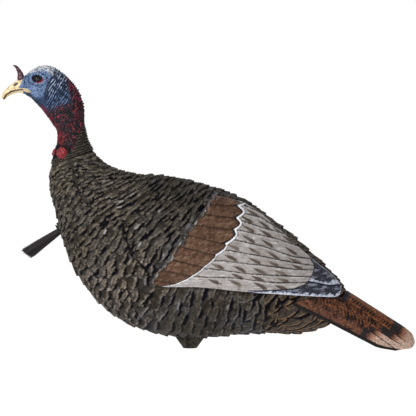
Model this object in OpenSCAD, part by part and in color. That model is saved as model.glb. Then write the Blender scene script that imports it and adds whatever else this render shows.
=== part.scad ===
// Turkey decoy: a moulded jake in a relaxed pose, held up by a ground stake.
// Frame: millimetres, +Z up, the bill points to -X and the tail to +X, the bird's left side is -Y.
// Origin: centre of the stake bore, at its mouth on the underside of the keel.

/* [Decoy] */
// Length from bill tip to tail tip
decoy_length = 741; // [667:1:815]
// Breadth of the plumage over the widest part of the body, without the wings
body_width = 230; // [205:1:255]
// Depth of the sculpted plumage that stands proud of the bare shells
plumage = 3; // [1:0.5:5]
// Wall of the moulded shells
wall = 3.2; // [2.4:0.1:4.5]

/* [Stake socket] */
// Bore of the stake socket, for a 9.5 mm ground stake
stake_bore_d = 9.8; // [9:0.1:12]
// Depth of the stake bore
stake_bore_depth = 72; // [50:1:90]
// Outside diameter of the socket tube
socket_d = 18; // [16:0.5:20]

/* [Neck joint] */
// Diameter of the keyed plug that drops into the body
plug_d = 31.9; // [26:0.1:33]
// Length of the keyed plug
plug_length = 48; // [35:1:55]
// Diameter of the journal that the head turns on
journal_d = 23.9; // [18:0.1:25]
// Length of the journal
journal_length = 36; // [25:1:40]
// Radial running clearance of the plug and the journal
running = 0.05; // [0.02:0.01:0.1]
// Gap between the head and the body at the neck seam
seam_gap = 0.6; // [0.4:0.1:1.5]

/* [Wings] */
// Gap between a wing and the shell
wing_gap = 2.5; // [2:0.1:4]
// Thickness of the wing at the shoulder
wing_root_t = 6; // [5:0.5:9]
// Thickness of the wing at its tip
wing_tip_t = 3.5; // [2.5:0.5:5]
// Diameter of the ball on the shoulder stud
stud_ball_d = 8; // [6:0.5:9]

/* [Tail] */
// Thickness of the tail fan
tail_t = 4.5; // [3:0.5:6]
// Width of the tongue that slides into the rump
tongue_w = 40; // [30:1:44]
// Thickness of the tongue
tongue_t = 8; // [6:0.5:10]
// Length of the tongue
tongue_length = 60; // [40:1:70]
// Clearance around the tongue in its sleeve
tongue_gap = 0.3; // [0.2:0.05:0.6]

/* [Beard] */
// Length of the bristles outside the breast
beard_length = 78; // [60:1:110]
// Diameter of the ferrule that plugs into the breast
ferrule_d = 15.9; // [12:0.1:17]

/* [Hidden] */
$fn = 48;
tiny = 0.01;

// Everything that follows the bird's outline grows with its length; the hardware keeps its size.
size = decoy_length / 741;
breadth = body_width / 230;

// A station is a cut through the bird, square to its middle plane: top x, top z, bottom x, bottom z, half width.
function scaled(stations) =
    [for (s = stations) [s[0] * size, s[1] * size, s[2] * size, s[3] * size, s[4] * breadth]];

body_stations = scaled([
    [-172, 358, -251, 331.5, 29],
    [-162, 344.5, -254.5, 314, 38],
    [-149, 334, -254.5, 290, 49],
    [-132, 325, -250, 269, 60],
    [-111, 318, -241, 236, 72],
    [-86, 314, -230, 195, 85],
    [-59, 313, -212, 148, 97],
    [-30, 310.5, -185, 105, 106],
    [0, 303.5, -147, 65, 112],
    [34, 295, -97, 37, 115],
    [72, 282, -36, 21.5, 115],
    [111, 262, 29, 19, 111],
    [151, 233, 90, 25, 102],
    [189, 202, 140, 27, 89],
    [221, 173, 180, 26, 75],
    [248, 146, 213, 29, 60],
    [268, 125, 239, 37, 48],
    [283.5, 103.5, 254.3, 48.5, 39]]);
head_stations = scaled([
    [-172, 358, -251, 331.5, 29],
    [-181, 375.5, -245.5, 353, 26],
    [-186, 393.5, -239.5, 373.5, 24],
    [-189, 411.5, -240.5, 391.5, 22.5],
    [-189, 431, -250, 407, 22],
    [-193, 452.5, -263.5, 425, 22],
    [-201, 469, -273.5, 436.5, 21.5],
    [-214, 485, -281, 444.5, 21],
    [-230, 499, -286, 450, 20],
    [-248, 509, -290.5, 452.5, 19],
    [-264, 510.5, -294.5, 454.5, 18],
    [-279, 505, -297, 456.5, 16],
    [-290, 497, -299, 457, 13.5],
    [-297.5, 488.5, -300, 458.8, 10.8],
    [-299.5, 487, -301.5, 459.8, 8.6],
    [-311, 482, -309, 459.5, 7.4],
    [-321, 475.5, -317, 458, 6.3],
    [-330, 467.5, -323.5, 455.5, 5],
    [-336.2, 459, -329, 452, 3.6],
    [-338.5, 451, -333, 448, 1.6]]);
// Share by which a cut is broader below its middle than above it.
body_egg = 0.10;
head_egg = 0.0;

// Points along the wing's lower and upper edges in the side view, from the shoulder to the tip.
wing_lower_edge = size * [[-70, 131], [-45, 122], [18, 121], [99, 112], [162, 106], [216, 100],
    [255, 96], [266, 99]];
wing_upper_edge = size * [[41, 275], [72, 270], [106, 256], [146, 226], [184, 191], [219, 160],
    [250, 134], [270, 112]];

// --- curves and lofts ---

function clamp_index(list, i) = list[max(0, min(len(list) - 1, i))];
// Catmull-Rom curve through the list, at position u from 0 to len - 1.
function spline(list, u) =
    let (i = min(floor(u), len(list) - 2), f = u - i,
        a = clamp_index(list, i - 1), b = list[i], c = list[i + 1], d = clamp_index(list, i + 2))
    0.5 * (2 * b + (c - a) * f + (2 * a - 5 * b + 4 * c - d) * f * f + (3 * (b - c) + d - a) * f * f * f);
// Point of a cut at angle t, 90 at the top and -90 at the bottom, moved in by inset.
function cut_point(stations, egg, u, t, inset = 0) =
    let (s = spline(stations, u),
        centre = [s[0] + s[2], s[1] + s[3]] / 2,
        half = [s[0] - s[2], s[1] - s[3]] / 2,
        shrink = 1 - inset / norm(half),
        side = (s[4] - inset) * cos(t) * (1 - egg * sin(t)))
    [centre[0] + half[0] * shrink * sin(t), side, centre[1] + half[1] * shrink * sin(t)];
function unit(v) = v / norm(v);
function mix(a, b, f) = a + (b - a) * f;

function halves(q) = [[q[0], q[1], q[2]], [q[0], q[2], q[3]]];
// Faces between rings with n points each. Closed rings join their last point to their first.
function band(rings, n, base, closed, flip) =
    [for (i = [0:rings - 2], j = [0:(closed ? n - 1 : n - 2)])
        let (a = base + i * n + j, b = base + i * n + (j + 1) % n)
        each halves(flip ? [a + n, b + n, b, a] : [a, b, b + n, a + n])];
// Faces of a slab: an outer grid, then an inner grid, with the four rims between them.
function slab_faces(rings, n) =
    let (low = rings * n, far = (rings - 1) * n)
    concat(band(rings, n, 0, false, true), band(rings, n, low, false, false),
        [for (i = [0:rings - 2]) let (k = i * n, m = k + n)
            each concat(halves([low + k, low + m, m, k]), halves([m - 1, m + n - 1, low + m + n - 1, low + m - 1]))],
        [for (j = [0:n - 2])
            each concat(halves([low + j + 1, low + j, j, j + 1]),
                halves([low + far + j, low + far + j + 1, far + j + 1, far + j]))]);

// --- where a side-view point lies on the bare body ---

last_station = len(body_stations) - 1;
function beyond(u, p) =
    let (s = spline(body_stations, u))
    (s[0] - s[2]) * (p[1] - s[3]) - (s[1] - s[3]) * (p[0] - s[2]);
function station_of(p, low = 0, high = last_station, steps = 16) =
    steps == 0 ? (low + high) / 2
    : let (middle = (low + high) / 2)
        beyond(middle, p) < 0 ? station_of(p, middle, high, steps - 1)
        : station_of(p, low, middle, steps - 1);
function angle_of(p, u) =
    let (s = spline(body_stations, u), c = [s[0] + s[2], s[1] + s[3]] / 2,
        h = [s[0] - s[2], s[1] - s[3]] / 2)
    asin(max(-0.985, min(0.985, (p - c) * h / ((norm(h) - plumage) * norm(h)))));
function skin(u, t) = cut_point(body_stations, body_egg, u, t, plumage);
function skin_normal(u, t) =
    let (v = min(u, last_station - 0.05))
    unit(cross(skin(v, t + 1) - skin(v, t - 1), skin(v + 0.05, t) - skin(v - 0.05, t)));
// The point that stands out by rise over the body's side at side-view point p, on the +Y side.
function over_body(p, rise) =
    let (u = station_of(p), t = angle_of(p, u))
    skin(u, t) + rise * skin_normal(u, t);
function half_width_at(p) = let (u = station_of(p)) skin(u, angle_of(p, u))[1];

// --- local frames ---

seam_top = [body_stations[0][0], body_stations[0][1]];
seam_bottom = [body_stations[0][2], body_stations[0][3]];
neck_tilt = atan2(seam_top[1] - seam_bottom[1], seam_top[0] - seam_bottom[0]);
seam_half = norm(seam_top - seam_bottom) / 2;
plug_setback = 7;
seam_centre = (seam_top + seam_bottom) / 2;
neck_origin = seam_centre + plug_setback * unit(seam_top - seam_bottom);
module in_neck() translate([neck_origin[0], 0, neck_origin[1]]) rotate([0, -neck_tilt, 0]) children();

rump_top = [body_stations[last_station][0], body_stations[last_station][1]];
rump_bottom = [body_stations[last_station][2], body_stations[last_station][3]];
tail_drop = atan2(rump_top[0] - rump_bottom[0], rump_top[1] - rump_bottom[1]);
rump_half = norm(rump_top - rump_bottom) / 2;
rump_half_w = body_stations[last_station][4];
tail_origin = (rump_top + rump_bottom) / 2;
module in_tail() translate([tail_origin[0], 0, tail_origin[1]]) rotate([0, tail_drop, 0]) children();
function tail_to_side(s, h) =
    tail_origin + [s * cos(tail_drop) + h * sin(tail_drop), h * cos(tail_drop) - s * sin(tail_drop)];

stud_side_point = size * [-9, 187];
stud_u = station_of(stud_side_point);
stud_t = angle_of(stud_side_point, stud_u);
stud_base = skin(stud_u, stud_t);
stud_normal = skin_normal(stud_u, stud_t);
stud_ball_rise = 1.5;
stud_recess = 6;
stud_recess_d = 34;
// +Z leaves the shell at the shoulder stud of the +Y side.
module at_stud() translate(stud_base)
    rotate([0, acos(stud_normal[2]), atan2(stud_normal[1], stud_normal[0])]) children();

beard_dip = 34.5;
beard_root = size * [-234, 212];
// +Z runs down and forward along the beard.
module at_beard() translate([beard_root[0], 0, beard_root[1]]) rotate([0, -90 - beard_dip, 0]) children();

module both_sides() {
    children();
    mirror([0, 1, 0]) children();
}
function ellipse(a, b, n = 48) = [for (i = [0:n - 1]) [a * cos(360 * i / n), b * sin(360 * i / n)]];

// Joint axes and pivots, for whoever drives the joints.
wing_axis = unit(over_body(mix(wing_lower_edge[0], wing_upper_edge[0], 0.72), 0)
    - over_body(mix(wing_lower_edge[0], wing_upper_edge[0], 0.12), 0));
echo(neck_origin = neck_origin, neck_tilt = neck_tilt, tail_origin = tail_origin, tail_drop = tail_drop);
echo(ball = stud_base + stud_ball_rise * stud_normal, wing_axis = wing_axis, beard_root = beard_root);

// --- body shells ---

shell_rings = 44;
shell_sides = 20;
// Half of the body's shell on the +Y side: outer skin, inner skin and the rims between them.
module half_skin() {
    function rings(inset) =
        [for (i = [0:shell_rings], j = [0:shell_sides])
            cut_point(body_stations, body_egg, i * last_station / shell_rings,
                -90 + 180 * j / shell_sides, inset)];
    polyhedron(concat(rings(plumage), rings(plumage + wall)),
        slab_faces(shell_rings + 1, shell_sides + 1), convexity = 8);
}

keel_foot_r = 12.5;
keel_top_r = 20;
screw_spread = 13;
flange_z = 31.5;
flange_r = screw_spread * sqrt(2) + 5;
module half_disc(r, h, steps = 14) linear_extrude(h)
    polygon([for (i = [0:steps]) r * [cos(180 * i / steps), sin(180 * i / steps)]]);
module half_keel() {
    hull() {
        half_disc(keel_foot_r, 2);
        for (x = [-9, 9]) translate([x, 0, 23]) half_disc(keel_top_r, 3);
    }
    translate([0, 0, flange_z - 5]) half_disc(flange_r, 5);
}
module stud_pad() at_stud() hull() {
    translate([0, 0, -stud_recess - wall]) cylinder(d = stud_recess_d + 2, h = 1, $fn = 32);
    translate([0, 0, -4.9]) cylinder(d = stud_recess_d + 4, h = 1, $fn = 32);
}
grommet_d = ferrule_d + 5;
module half_beard_pad() at_beard() hull() {
    translate([0, 0, -12]) half_disc(grommet_d / 2 + 3.5, 1);
    translate([0, 0, -3]) half_disc(grommet_d / 2 + 4.5, 1);
}
lug_z = -11.1;
module neck_lugs() in_neck() for (x = [-20, -11, -2]) hull() {
    translate([x, 20.8, lug_z]) cube([7, 1, 2]);
    translate([x, 27.5, lug_z - 1]) cube([7, 1, 3]);
}
module rump_lugs() in_tail() for (z = [-10, 5]) hull() {
    translate([-13, 30, z]) cube([6, 1, 5]);
    translate([-14, 36.8, z]) cube([6.5, 1, 5]);
}
module half_shell() difference() {
    union() {
        half_skin();
        half_keel();
        stud_pad();
        half_beard_pad();
        neck_lugs();
        rump_lugs();
    }
    translate([0, 0, -1]) cylinder(d = socket_d + 0.6, h = 60);
    for (x = [-screw_spread, screw_spread])
        translate([x, screw_spread, flange_z - 13]) cylinder(d = 3.4, h = 30, $fn = 16);
    at_stud() translate([0, 0, -stud_recess]) cylinder(d = stud_recess_d, h = 30);
    at_stud() translate([0, 0, -20]) cylinder(d = 6.6, h = 30, $fn = 24);
    at_beard() translate([0, 0, -20]) cylinder(d = grommet_d + 0.4, h = 60);
    at_beard() cylinder(d = grommet_d + 5.6, h = 20);
}
module right_shell() color("#4a443b") half_shell();
module left_shell() color("#4a443b") mirror([0, 1, 0]) half_shell();

// --- stake socket ---

module stake_socket() color("#1c1c1c") difference() {
    union() {
        cylinder(d = socket_d, h = stake_bore_depth + 4);
        translate([0, 0, flange_z]) cylinder(r = flange_r - 0.5, h = 3);
    }
    translate([0, 0, -1]) cylinder(d = stake_bore_d, h = stake_bore_depth + 1);
    for (x = [-1, 1], y = [-1, 1])
        translate([x * screw_spread, y * screw_spread, flange_z - 1]) cylinder(d = 3.6, h = 6);
}
module socket_screws() color("#8a8d90")
    for (x = [-1, 1], y = [-1, 1]) translate([x * screw_spread, y * screw_spread, flange_z]) {
        translate([0, 0, -11]) cylinder(d = 3, h = 14 + tiny);
        translate([0, 0, 3]) cylinder(d = 6.5, h = 2.4);
    }

// --- neck joint: socket in the body, keyed plug, journal and bush in the head ---

socket_bore_d = plug_d + 2 * running;
key_w = 4;
key_reach = 2.5;
flange_d = 42;
flange_t = 3;
plate_t = 5;
plug_fit_gap = 0.3;
module neck_socket() color("#262626") in_neck() difference() {
    union() {
        translate([-plug_setback, 0, -1 - plate_t - flange_t]) linear_extrude(plate_t + flange_t)
            polygon(ellipse(seam_half - plumage - wall - plug_fit_gap,
                body_stations[0][4] - plumage - wall - plug_fit_gap));
        translate([0, 0, -plug_length - 6]) cylinder(d = socket_bore_d + 8, h = plug_length);
    }
    translate([0, 0, -plug_length - 2]) cylinder(d = socket_bore_d, h = plug_length + 10);
    translate([0, -key_w / 2 - 0.2, -plug_length - 2])
        cube([socket_bore_d / 2 + key_reach + 0.3, key_w + 0.4, plug_length + 10]);
    translate([0, 0, -1 - flange_t]) cylinder(d = flange_d + 0.6, h = 10);
}
groove_z = -12;
ring_d = 3;
module neck_plug() color("#3a3a3a") in_neck() difference() {
    union() {
        translate([0, 0, -plug_length]) cylinder(d = plug_d, h = plug_length);
        translate([0, -key_w / 2, -plug_length]) cube([plug_d / 2 + key_reach, key_w, plug_length - 6]);
        translate([0, 0, -0.8 - flange_t]) cylinder(d = flange_d, h = flange_t);
        translate([0, 0, -1]) cylinder(d = journal_d, h = journal_length + 1);
    }
    translate([0, 0, groove_z]) rotate_extrude()
        translate([plug_d / 2 - ring_d + 0.2, -ring_d / 2 - 0.1]) square([ring_d, ring_d + 0.2]);
    translate([0, 0, journal_length - 18]) cylinder(d = 4.2, h = 20);
    translate([0, 0, -plug_length - 1]) cylinder(d = plug_d - 9, h = plug_length - 8);
}
module plug_o_ring() color("#151515") in_neck() translate([0, 0, groove_z]) difference() {
    rotate_extrude() translate([plug_d / 2 - ring_d / 2, 0]) circle(d = ring_d);
    translate([0, -key_w / 2 - 0.3, -5]) cube([30, key_w + 0.6, 10]);
}
washer_z = journal_length + 0.2;
module head_washer() color("#9a9da0") in_neck() translate([0, 0, washer_z]) difference() {
    cylinder(d = journal_d + 7, h = 1.6);
    translate([0, 0, -1]) cylinder(d = 4.6, h = 4);
}
module head_screw() color("#8a8d90") in_neck() translate([0, 0, washer_z + 1.6]) {
    translate([0, 0, -16]) cylinder(d = 4, h = 16 + tiny);
    difference() {
        cylinder(d = 8.4, h = 3.2);
        translate([0, 0, 1]) cylinder(d = 4.4, h = 4, $fn = 6);
    }
}
bush_bore_d = journal_d + 2 * running;
bush_plate = [seam_half - plumage - wall - 3, head_stations[0][4] - plumage - wall - 2];
module head_bush() color("#262626") in_neck() difference() {
    union() {
        translate([-plug_setback, 0, seam_gap + 0.5]) linear_extrude(plate_t)
            polygon(ellipse(bush_plate[0], bush_plate[1]));
        translate([0, 0, seam_gap + 0.5]) cylinder(d = bush_bore_d + 5, h = journal_length - seam_gap - 0.6);
    }
    translate([0, 0, -1]) cylinder(d = bush_bore_d, h = journal_length + 5);
}

// --- head ---

head_last = len(head_stations) - 1;
head_rings = 54;
head_sides = 26;
cavity_rings = 14;
cavity_end = 7;
// Closed at the bill and open at the neck, with a cavity that reaches up to the skull.
module head_skin() {
    function ring(u, inset) =
        [for (j = [0:head_sides - 1])
            cut_point(head_stations, head_egg, u, 360 * j / head_sides, inset)];
    lift = seam_gap * [-sin(neck_tilt), 0, cos(neck_tilt)];
    outer = [for (i = [0:head_rings]) each [for (p = ring(i * head_last / head_rings, plumage * 0.5))
        p + (i == 0 ? lift : [0, 0, 0])]];
    inner = [for (i = [0:cavity_rings]) each [for (p = ring(i * cavity_end / cavity_rings, plumage + wall))
        p + (i == 0 ? lift : [0, 0, 0])]];
    base = (head_rings + 1) * head_sides;
    rim = [for (j = [0:head_sides - 1]) let (k = (j + 1) % head_sides) [k, j, base + j, base + k]];
    face = [[for (j = [0:head_sides - 1]) head_rings * head_sides + j]];
    roof = [[for (j = [head_sides - 1:-1:0]) base + cavity_rings * head_sides + j]];
    polyhedron(concat(outer, inner), concat(
        band(head_rings + 1, head_sides, 0, true, false),
        band(cavity_rings + 1, head_sides, base, true, true), rim, face, roof), convexity = 8);
}
eye_d = 14;
eye_place = size * [-273, 485.5];
eye_depth = 11.5;
module eye_ball(gap) translate([eye_place[0], eye_depth * breadth - gap, eye_place[1]])
    rotate([-90, 0, 0]) rotate_extrude() polygon(concat([[0, -1], [eye_d / 2 + gap, -1]],
        [for (a = [0:12:84]) (eye_d / 2 + gap) * [cos(a), sin(a)]], [[0, eye_d / 2 + gap]]));
module right_eye() color("#140a08") eye_ball(0);
module left_eye() color("#140a08") mirror([0, 1, 0]) eye_ball(0);

// Fleshy spike that stands up at the root of the bill.
snood_foot = size * [-300, 486];
snood_tip = size * [-316, 508];
module snood() hull() {
    translate([snood_foot[0], 0, snood_foot[1]]) sphere(r = 6, $fn = 18);
    translate([mix(snood_foot[0], snood_tip[0], 0.55), 0, mix(snood_foot[1], snood_tip[1], 0.6)])
        sphere(r = 3.4, $fn = 14);
    translate([snood_tip[0], 0, snood_tip[1]]) sphere(r = 1.5, $fn = 10);
}
// Fleshy lobes at the foot of the neck: one on each side and one in front.
module caruncles() in_neck() {
    for (side = [-1, 1]) hull() {
        translate([-22, side * 18.5, 10.5]) sphere(r = 9, $fn = 20);
        translate([-19, side * 18, 19]) sphere(r = 6.5, $fn = 20);
    }
    hull() {
        translate([-35, 0, 9]) sphere(r = 7, $fn = 18);
        translate([-34, 0, 18]) sphere(r = 5.5, $fn = 18);
    }
}
module head_shell() color("#5d7391") difference() {
    union() {
        head_skin();
        snood();
        caruncles();
    }
    both_sides() eye_ball(0.05);
    in_neck() translate([-plug_setback, 0, seam_gap + 0.3]) linear_extrude(plate_t + 0.4)
        polygon(ellipse(bush_plate[0] + 0.3, bush_plate[1] + 0.3));
}

// --- wings ---

wing_steps = 24;
wing_rows = 9;
front_relief = 3.5;
front_share = 0.10;
function wing_side_point(u, v) =
    mix(spline(wing_lower_edge, u * (len(wing_lower_edge) - 1)),
        spline(wing_upper_edge, u * (len(wing_upper_edge) - 1)), v);
function wing_under(u) = wing_gap + front_relief * max(0, 1 - u / front_share);
function wing_over(u, v) =
    wing_gap + mix(wing_root_t, wing_tip_t, u) * (0.55 + 0.45 * sin(180 * v)) + max(0, 1 - u / front_share);
// The panel follows the body's side; its edges are thinner than its middle.
module wing_panel() {
    function sheet(outer) = [for (i = [0:wing_steps], j = [0:wing_rows])
        let (u = i / wing_steps, v = j / wing_rows, under = wing_under(u))
        over_body(wing_side_point(u, v), outer ? max(wing_over(u, v), under + 1.5) : under)];
    polyhedron(concat(sheet(true), sheet(false)), slab_faces(wing_steps + 1, wing_rows + 1), convexity = 6);
}
cup_d = 16;
cup_top = 6;
cup_bottom = -2;
module right_wing() color("#8a8078") difference() {
    wing_panel();
    at_stud() translate([0, 0, cup_bottom]) cylinder(d = cup_d + 0.2, h = cup_top - cup_bottom + 0.2);
}
module left_wing() mirror([0, 1, 0]) right_wing();
module right_wing_cup() color("#2a2a2a") at_stud() difference() {
    translate([0, 0, cup_bottom]) cylinder(d = cup_d, h = cup_top - cup_bottom);
    translate([0, 0, stud_ball_rise]) sphere(d = stud_ball_d + 0.2);
    translate([0, 0, cup_bottom - 1]) cylinder(d = stud_ball_d - 0.8, h = 3);
}
module left_wing_cup() mirror([0, 1, 0]) right_wing_cup();
stud_shank_end = -stud_recess - wall - 9;
module right_wing_stud() color("#3a3a3a") at_stud() {
    translate([0, 0, stud_ball_rise]) sphere(d = stud_ball_d);
    translate([0, 0, -stud_recess + tiny]) cylinder(d = 4.4, h = stud_recess);
    translate([0, 0, -stud_recess + tiny]) cylinder(d = 15, h = 2);
    translate([0, 0, stud_shank_end]) cylinder(d = 6, h = -stud_shank_end - stud_recess + 2 * tiny);
}
module left_wing_stud() mirror([0, 1, 0]) right_wing_stud();
module wing_stud_nuts() color("#8a8d90") both_sides() at_stud()
    translate([0, 0, -stud_recess - wall - 5.5]) difference() {
        union() {
            cylinder(d = 11.5, h = 5, $fn = 6);
            translate([0, 0, 4.4]) cylinder(d = 15, h = 1);
        }
        translate([0, 0, -1]) cylinder(d = 6.1, h = 8);
    }

// --- tail ---

sleeve_wall = 3;
module tail_socket() color("#262626") in_tail() difference() {
    union() {
        translate([-7, 0, 0]) rotate([90, 0, 90]) linear_extrude(6)
            polygon(ellipse(rump_half_w - plumage - wall - 0.8, rump_half - plumage - wall - 0.8));
        translate([-tongue_length - 6, -tongue_w / 2 - sleeve_wall, -tongue_t / 2 - sleeve_wall])
            cube([tongue_length + 5, tongue_w + 2 * sleeve_wall, tongue_t + 2 * sleeve_wall]);
    }
    translate([-tongue_length - 3, -tongue_w / 2 - tongue_gap, -tongue_t / 2 - tongue_gap])
        cube([tongue_length + 20, tongue_w + 2 * tongue_gap, tongue_t + 2 * tongue_gap]);
}
// The fan is an arch: its ridge sinks towards the tip and rounds off there, its lower edges run straight, then
// round up.
fan_length = 150 * size;
fan_edge_h = -32 * size;
fan_rows = 16;
fan_steps = 16;
tip_start = 88 * size;
tip_shift = 26 * size;
ridge_shift = 5 * size;
fan_half_w = (rump_half_w + 2) * 1.0;
function fan_ridge(s) = mix(31 * size, 19 * size, s / fan_length)
    - ridge_shift * pow(max(0, s / fan_length - 0.75) / 0.25, 2);
// Length of the fan along each line of the arch, longest part way down its side.
function fan_reach(a) = fan_length - tip_shift * pow(max(0, 1 - cos(a) / 0.62), 2)
    - 2 * ridge_shift * pow(max(0, cos(a) - 0.7) / 0.3, 2);
function fan_point(f, a, inset) =
    let (s = 1.5 + f * (fan_reach(a) - 1.5),
        lift = max(0, s - tip_start) / (fan_length - tip_start),
        low = fan_edge_h + 14 * size * pow(sin(90 * lift), 1.5),
        top = fan_ridge(s))
    [s, (mix(fan_half_w, 24 * breadth, s / fan_length) + tail_t - inset) * sin(a),
        low + (top - low - inset) * cos(a)];
module fan_arch() {
    function layer(inset) = [for (i = [0:fan_steps], j = [0:fan_rows])
        fan_point(i / fan_steps, 90 - 180 * j / fan_rows, inset)];
    polyhedron(concat(layer(0), layer(tail_t)), slab_faces(fan_steps + 1, fan_rows + 1), convexity = 6);
}
// The side feathers reach forward over the rump, under the wing tips, and end inside the fan's own wall.
flap_reach = 80 * size;
flap_end = 5.5;
flap_steps = 12;
flap_rows = 7;
flap_t = 2.4;
flap_gap = 2.2;
// The flap's top edge keeps clear of the lower edge of the wing.
function flap_top(s) = size * lookup(s / size,
    [[-80, -27], [-58, -7], [-40, 1], [-22, 8], [-13, 14], [-3, 20], [6, 21]]);
function fan_side(h) = (fan_half_w + tail_t) * sqrt(1 - pow((h - fan_edge_h) / (fan_ridge(0) - fan_edge_h), 2));
function flap_y(s, h) =
    let (over_rump = half_width_at(tail_to_side(min(s, -0.5), max(h, -12 * size))) + flap_gap)
    mix(over_rump, fan_side(h) - flap_t - 1, max(0, s) / flap_end);
module side_flap() {
    function sheet(rise) = [for (i = [0:flap_steps], j = [0:flap_rows])
        let (s = mix(-flap_reach, flap_end, i / flap_steps), h = mix(fan_edge_h, flap_top(s), j / flap_rows))
        [s, flap_y(s, h) + rise, h]];
    polyhedron(concat(sheet(flap_t), sheet(0)), slab_faces(flap_steps + 1, flap_rows + 1), convexity = 6);
}
pad_length = 20;
pad_t = 1.5;
module tail_fan() color("#6e4a38") in_tail() difference() {
    union() {
        fan_arch();
        both_sides() side_flap();
        translate([1.7, -fan_half_w - 1, -tongue_t / 2 - 3]) cube([5, 2 * fan_half_w + 2, tongue_t + 6]);
        translate([-tongue_length, -tongue_w / 2, -tongue_t / 2]) cube([tongue_length + 3, tongue_w, tongue_t]);
    }
    translate([-tongue_length + 8, -8, tongue_t / 2 - pad_t]) cube([pad_length, 16, 5]);
}
module tail_friction_pad() color("#151515") in_tail()
    translate([-tongue_length + 8.1, -7.9, tongue_t / 2 - pad_t + tiny])
        cube([pad_length - 0.2, 15.8, pad_t + tongue_gap - 0.1]);

// --- beard ---

bristle_root = [9, 6];
bristle_tip = [12.5, 7];
module beard_grommet() color("#151515") at_beard() difference() {
    union() {
        translate([0, 0, -15]) cylinder(d = grommet_d, h = 15.2);
        translate([0, 0, 0.2]) cylinder(d = grommet_d + 5, h = 1.6);
    }
    translate([0, 0, -20]) cylinder(d = ferrule_d + 2 * running, h = 40);
}
module beard_ferrule() color("#2b2b2b") at_beard() difference() {
    translate([0, 0, -18]) cylinder(d = ferrule_d, h = 20);
    translate([0, 0, -6]) cylinder(d = ferrule_d - 2.4, h = 10);
}
// A brush of bristles, broader at its slanted end.
module beard() color("#1d1a1c") at_beard() difference() {
    union() {
        translate([0, 0, -6 + tiny]) cylinder(d = ferrule_d - 2.5, h = 10);
        hull() {
            translate([0, 0, 2.2]) linear_extrude(1) polygon(ellipse(bristle_root[0], bristle_root[1], 24));
            translate([0, 0, beard_length]) linear_extrude(1) polygon(ellipse(bristle_tip[0], bristle_tip[1], 24));
        }
    }
    translate([0, 0, beard_length - 3]) rotate([0, 18, 0]) translate([-30, -30, 0]) cube([60, 60, 30]);
}

left_shell();
right_shell();
stake_socket();
socket_screws();
neck_socket();
left_wing_stud();
right_wing_stud();
wing_stud_nuts();
tail_socket();
beard_grommet();
neck_plug();
plug_o_ring();
head_washer();
head_screw();
head_shell();
head_bush();
left_eye();
right_eye();
left_wing();
left_wing_cup();
right_wing();
right_wing_cup();
tail_fan();
tail_friction_pad();
beard();
beard_ferrule();
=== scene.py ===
import math
import bpy
import numpy as np
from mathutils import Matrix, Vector, noise


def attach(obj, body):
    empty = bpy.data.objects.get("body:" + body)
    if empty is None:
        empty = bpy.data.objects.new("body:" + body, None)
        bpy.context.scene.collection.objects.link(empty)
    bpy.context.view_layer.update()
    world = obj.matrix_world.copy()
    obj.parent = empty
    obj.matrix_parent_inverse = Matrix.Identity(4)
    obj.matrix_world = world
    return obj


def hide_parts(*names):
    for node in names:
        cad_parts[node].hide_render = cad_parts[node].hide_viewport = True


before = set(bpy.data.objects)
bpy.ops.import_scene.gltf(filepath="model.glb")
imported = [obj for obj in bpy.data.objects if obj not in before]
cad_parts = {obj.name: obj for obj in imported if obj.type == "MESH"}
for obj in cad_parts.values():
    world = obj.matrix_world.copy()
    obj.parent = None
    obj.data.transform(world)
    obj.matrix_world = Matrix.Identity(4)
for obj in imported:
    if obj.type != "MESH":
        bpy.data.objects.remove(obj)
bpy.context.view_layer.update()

# Turkey decoy. Lengths are in millimetres up to mesh_object, which turns them into metres. The bird faces
# -X, its left side is -Y. Each surface is a grid of points with a relief on it, and a colour per point that
# is worked out from the surface's own coordinates.
rng = np.random.default_rng(7)
MM = 0.001
MIRROR = np.array([1, -1, 1])

# ---------------- the bird's lofts
# Each station is a cut through the bird: top x, top z, bottom x, bottom z, half width.
BODY = np.array([
    [-172, 358, -251, 331.5, 29], [-162, 344.5, -254.5, 314, 38], [-149, 334, -254.5, 290, 49],
    [-132, 325, -250, 269, 60], [-111, 318, -241, 236, 72], [-86, 314, -230, 195, 85],
    [-59, 313, -212, 148, 97], [-30, 310.5, -185, 105, 106], [0, 303.5, -147, 65, 112],
    [34, 295, -97, 37, 115], [72, 282, -36, 21.5, 115], [111, 262, 29, 19, 111],
    [151, 233, 90, 25, 102], [189, 202, 140, 27, 89], [221, 173, 180, 26, 75],
    [248, 146, 213, 29, 60], [268, 125, 239, 37, 48], [283.5, 103.5, 254.3, 48.5, 39]], float)
HEAD = np.array([
    [-172, 358, -251, 331.5, 29], [-181, 375.5, -245.5, 353, 26], [-186, 393.5, -239.5, 373.5, 24],
    [-189, 411.5, -240.5, 391.5, 22.5], [-189, 431, -250, 407, 22], [-193, 452.5, -263.5, 425, 22],
    [-201, 469, -273.5, 436.5, 21.5], [-214, 485, -281, 444.5, 21], [-230, 499, -286, 450, 20],
    [-248, 509, -290.5, 452.5, 19], [-264, 510.5, -294.5, 454.5, 18], [-279, 505, -297, 456.5, 16],
    [-290, 497, -299, 457, 13.5], [-297.5, 488.5, -300, 458.8, 10.8]], float)
# The body's cuts are wider below by the share BODY_EGG. The plumage grows on a loft PLUMAGE inside the shell.
BODY_EGG, PLUMAGE = 0.1, 3.0
# Lower and upper edge of the folded wing in the side view, from front to rear.
WING_LOW = np.array([
    [-70, 131], [-45, 122], [18, 121], [99, 112], [162, 106], [216, 100], [255, 96], [266, 99]])
WING_TOP = np.array([
    [41, 275], [72, 270], [106, 256], [146, 226], [184, 191], [219, 160], [250, 134], [270, 112]])
WING_LAST = len(WING_LOW) - 1
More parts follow.
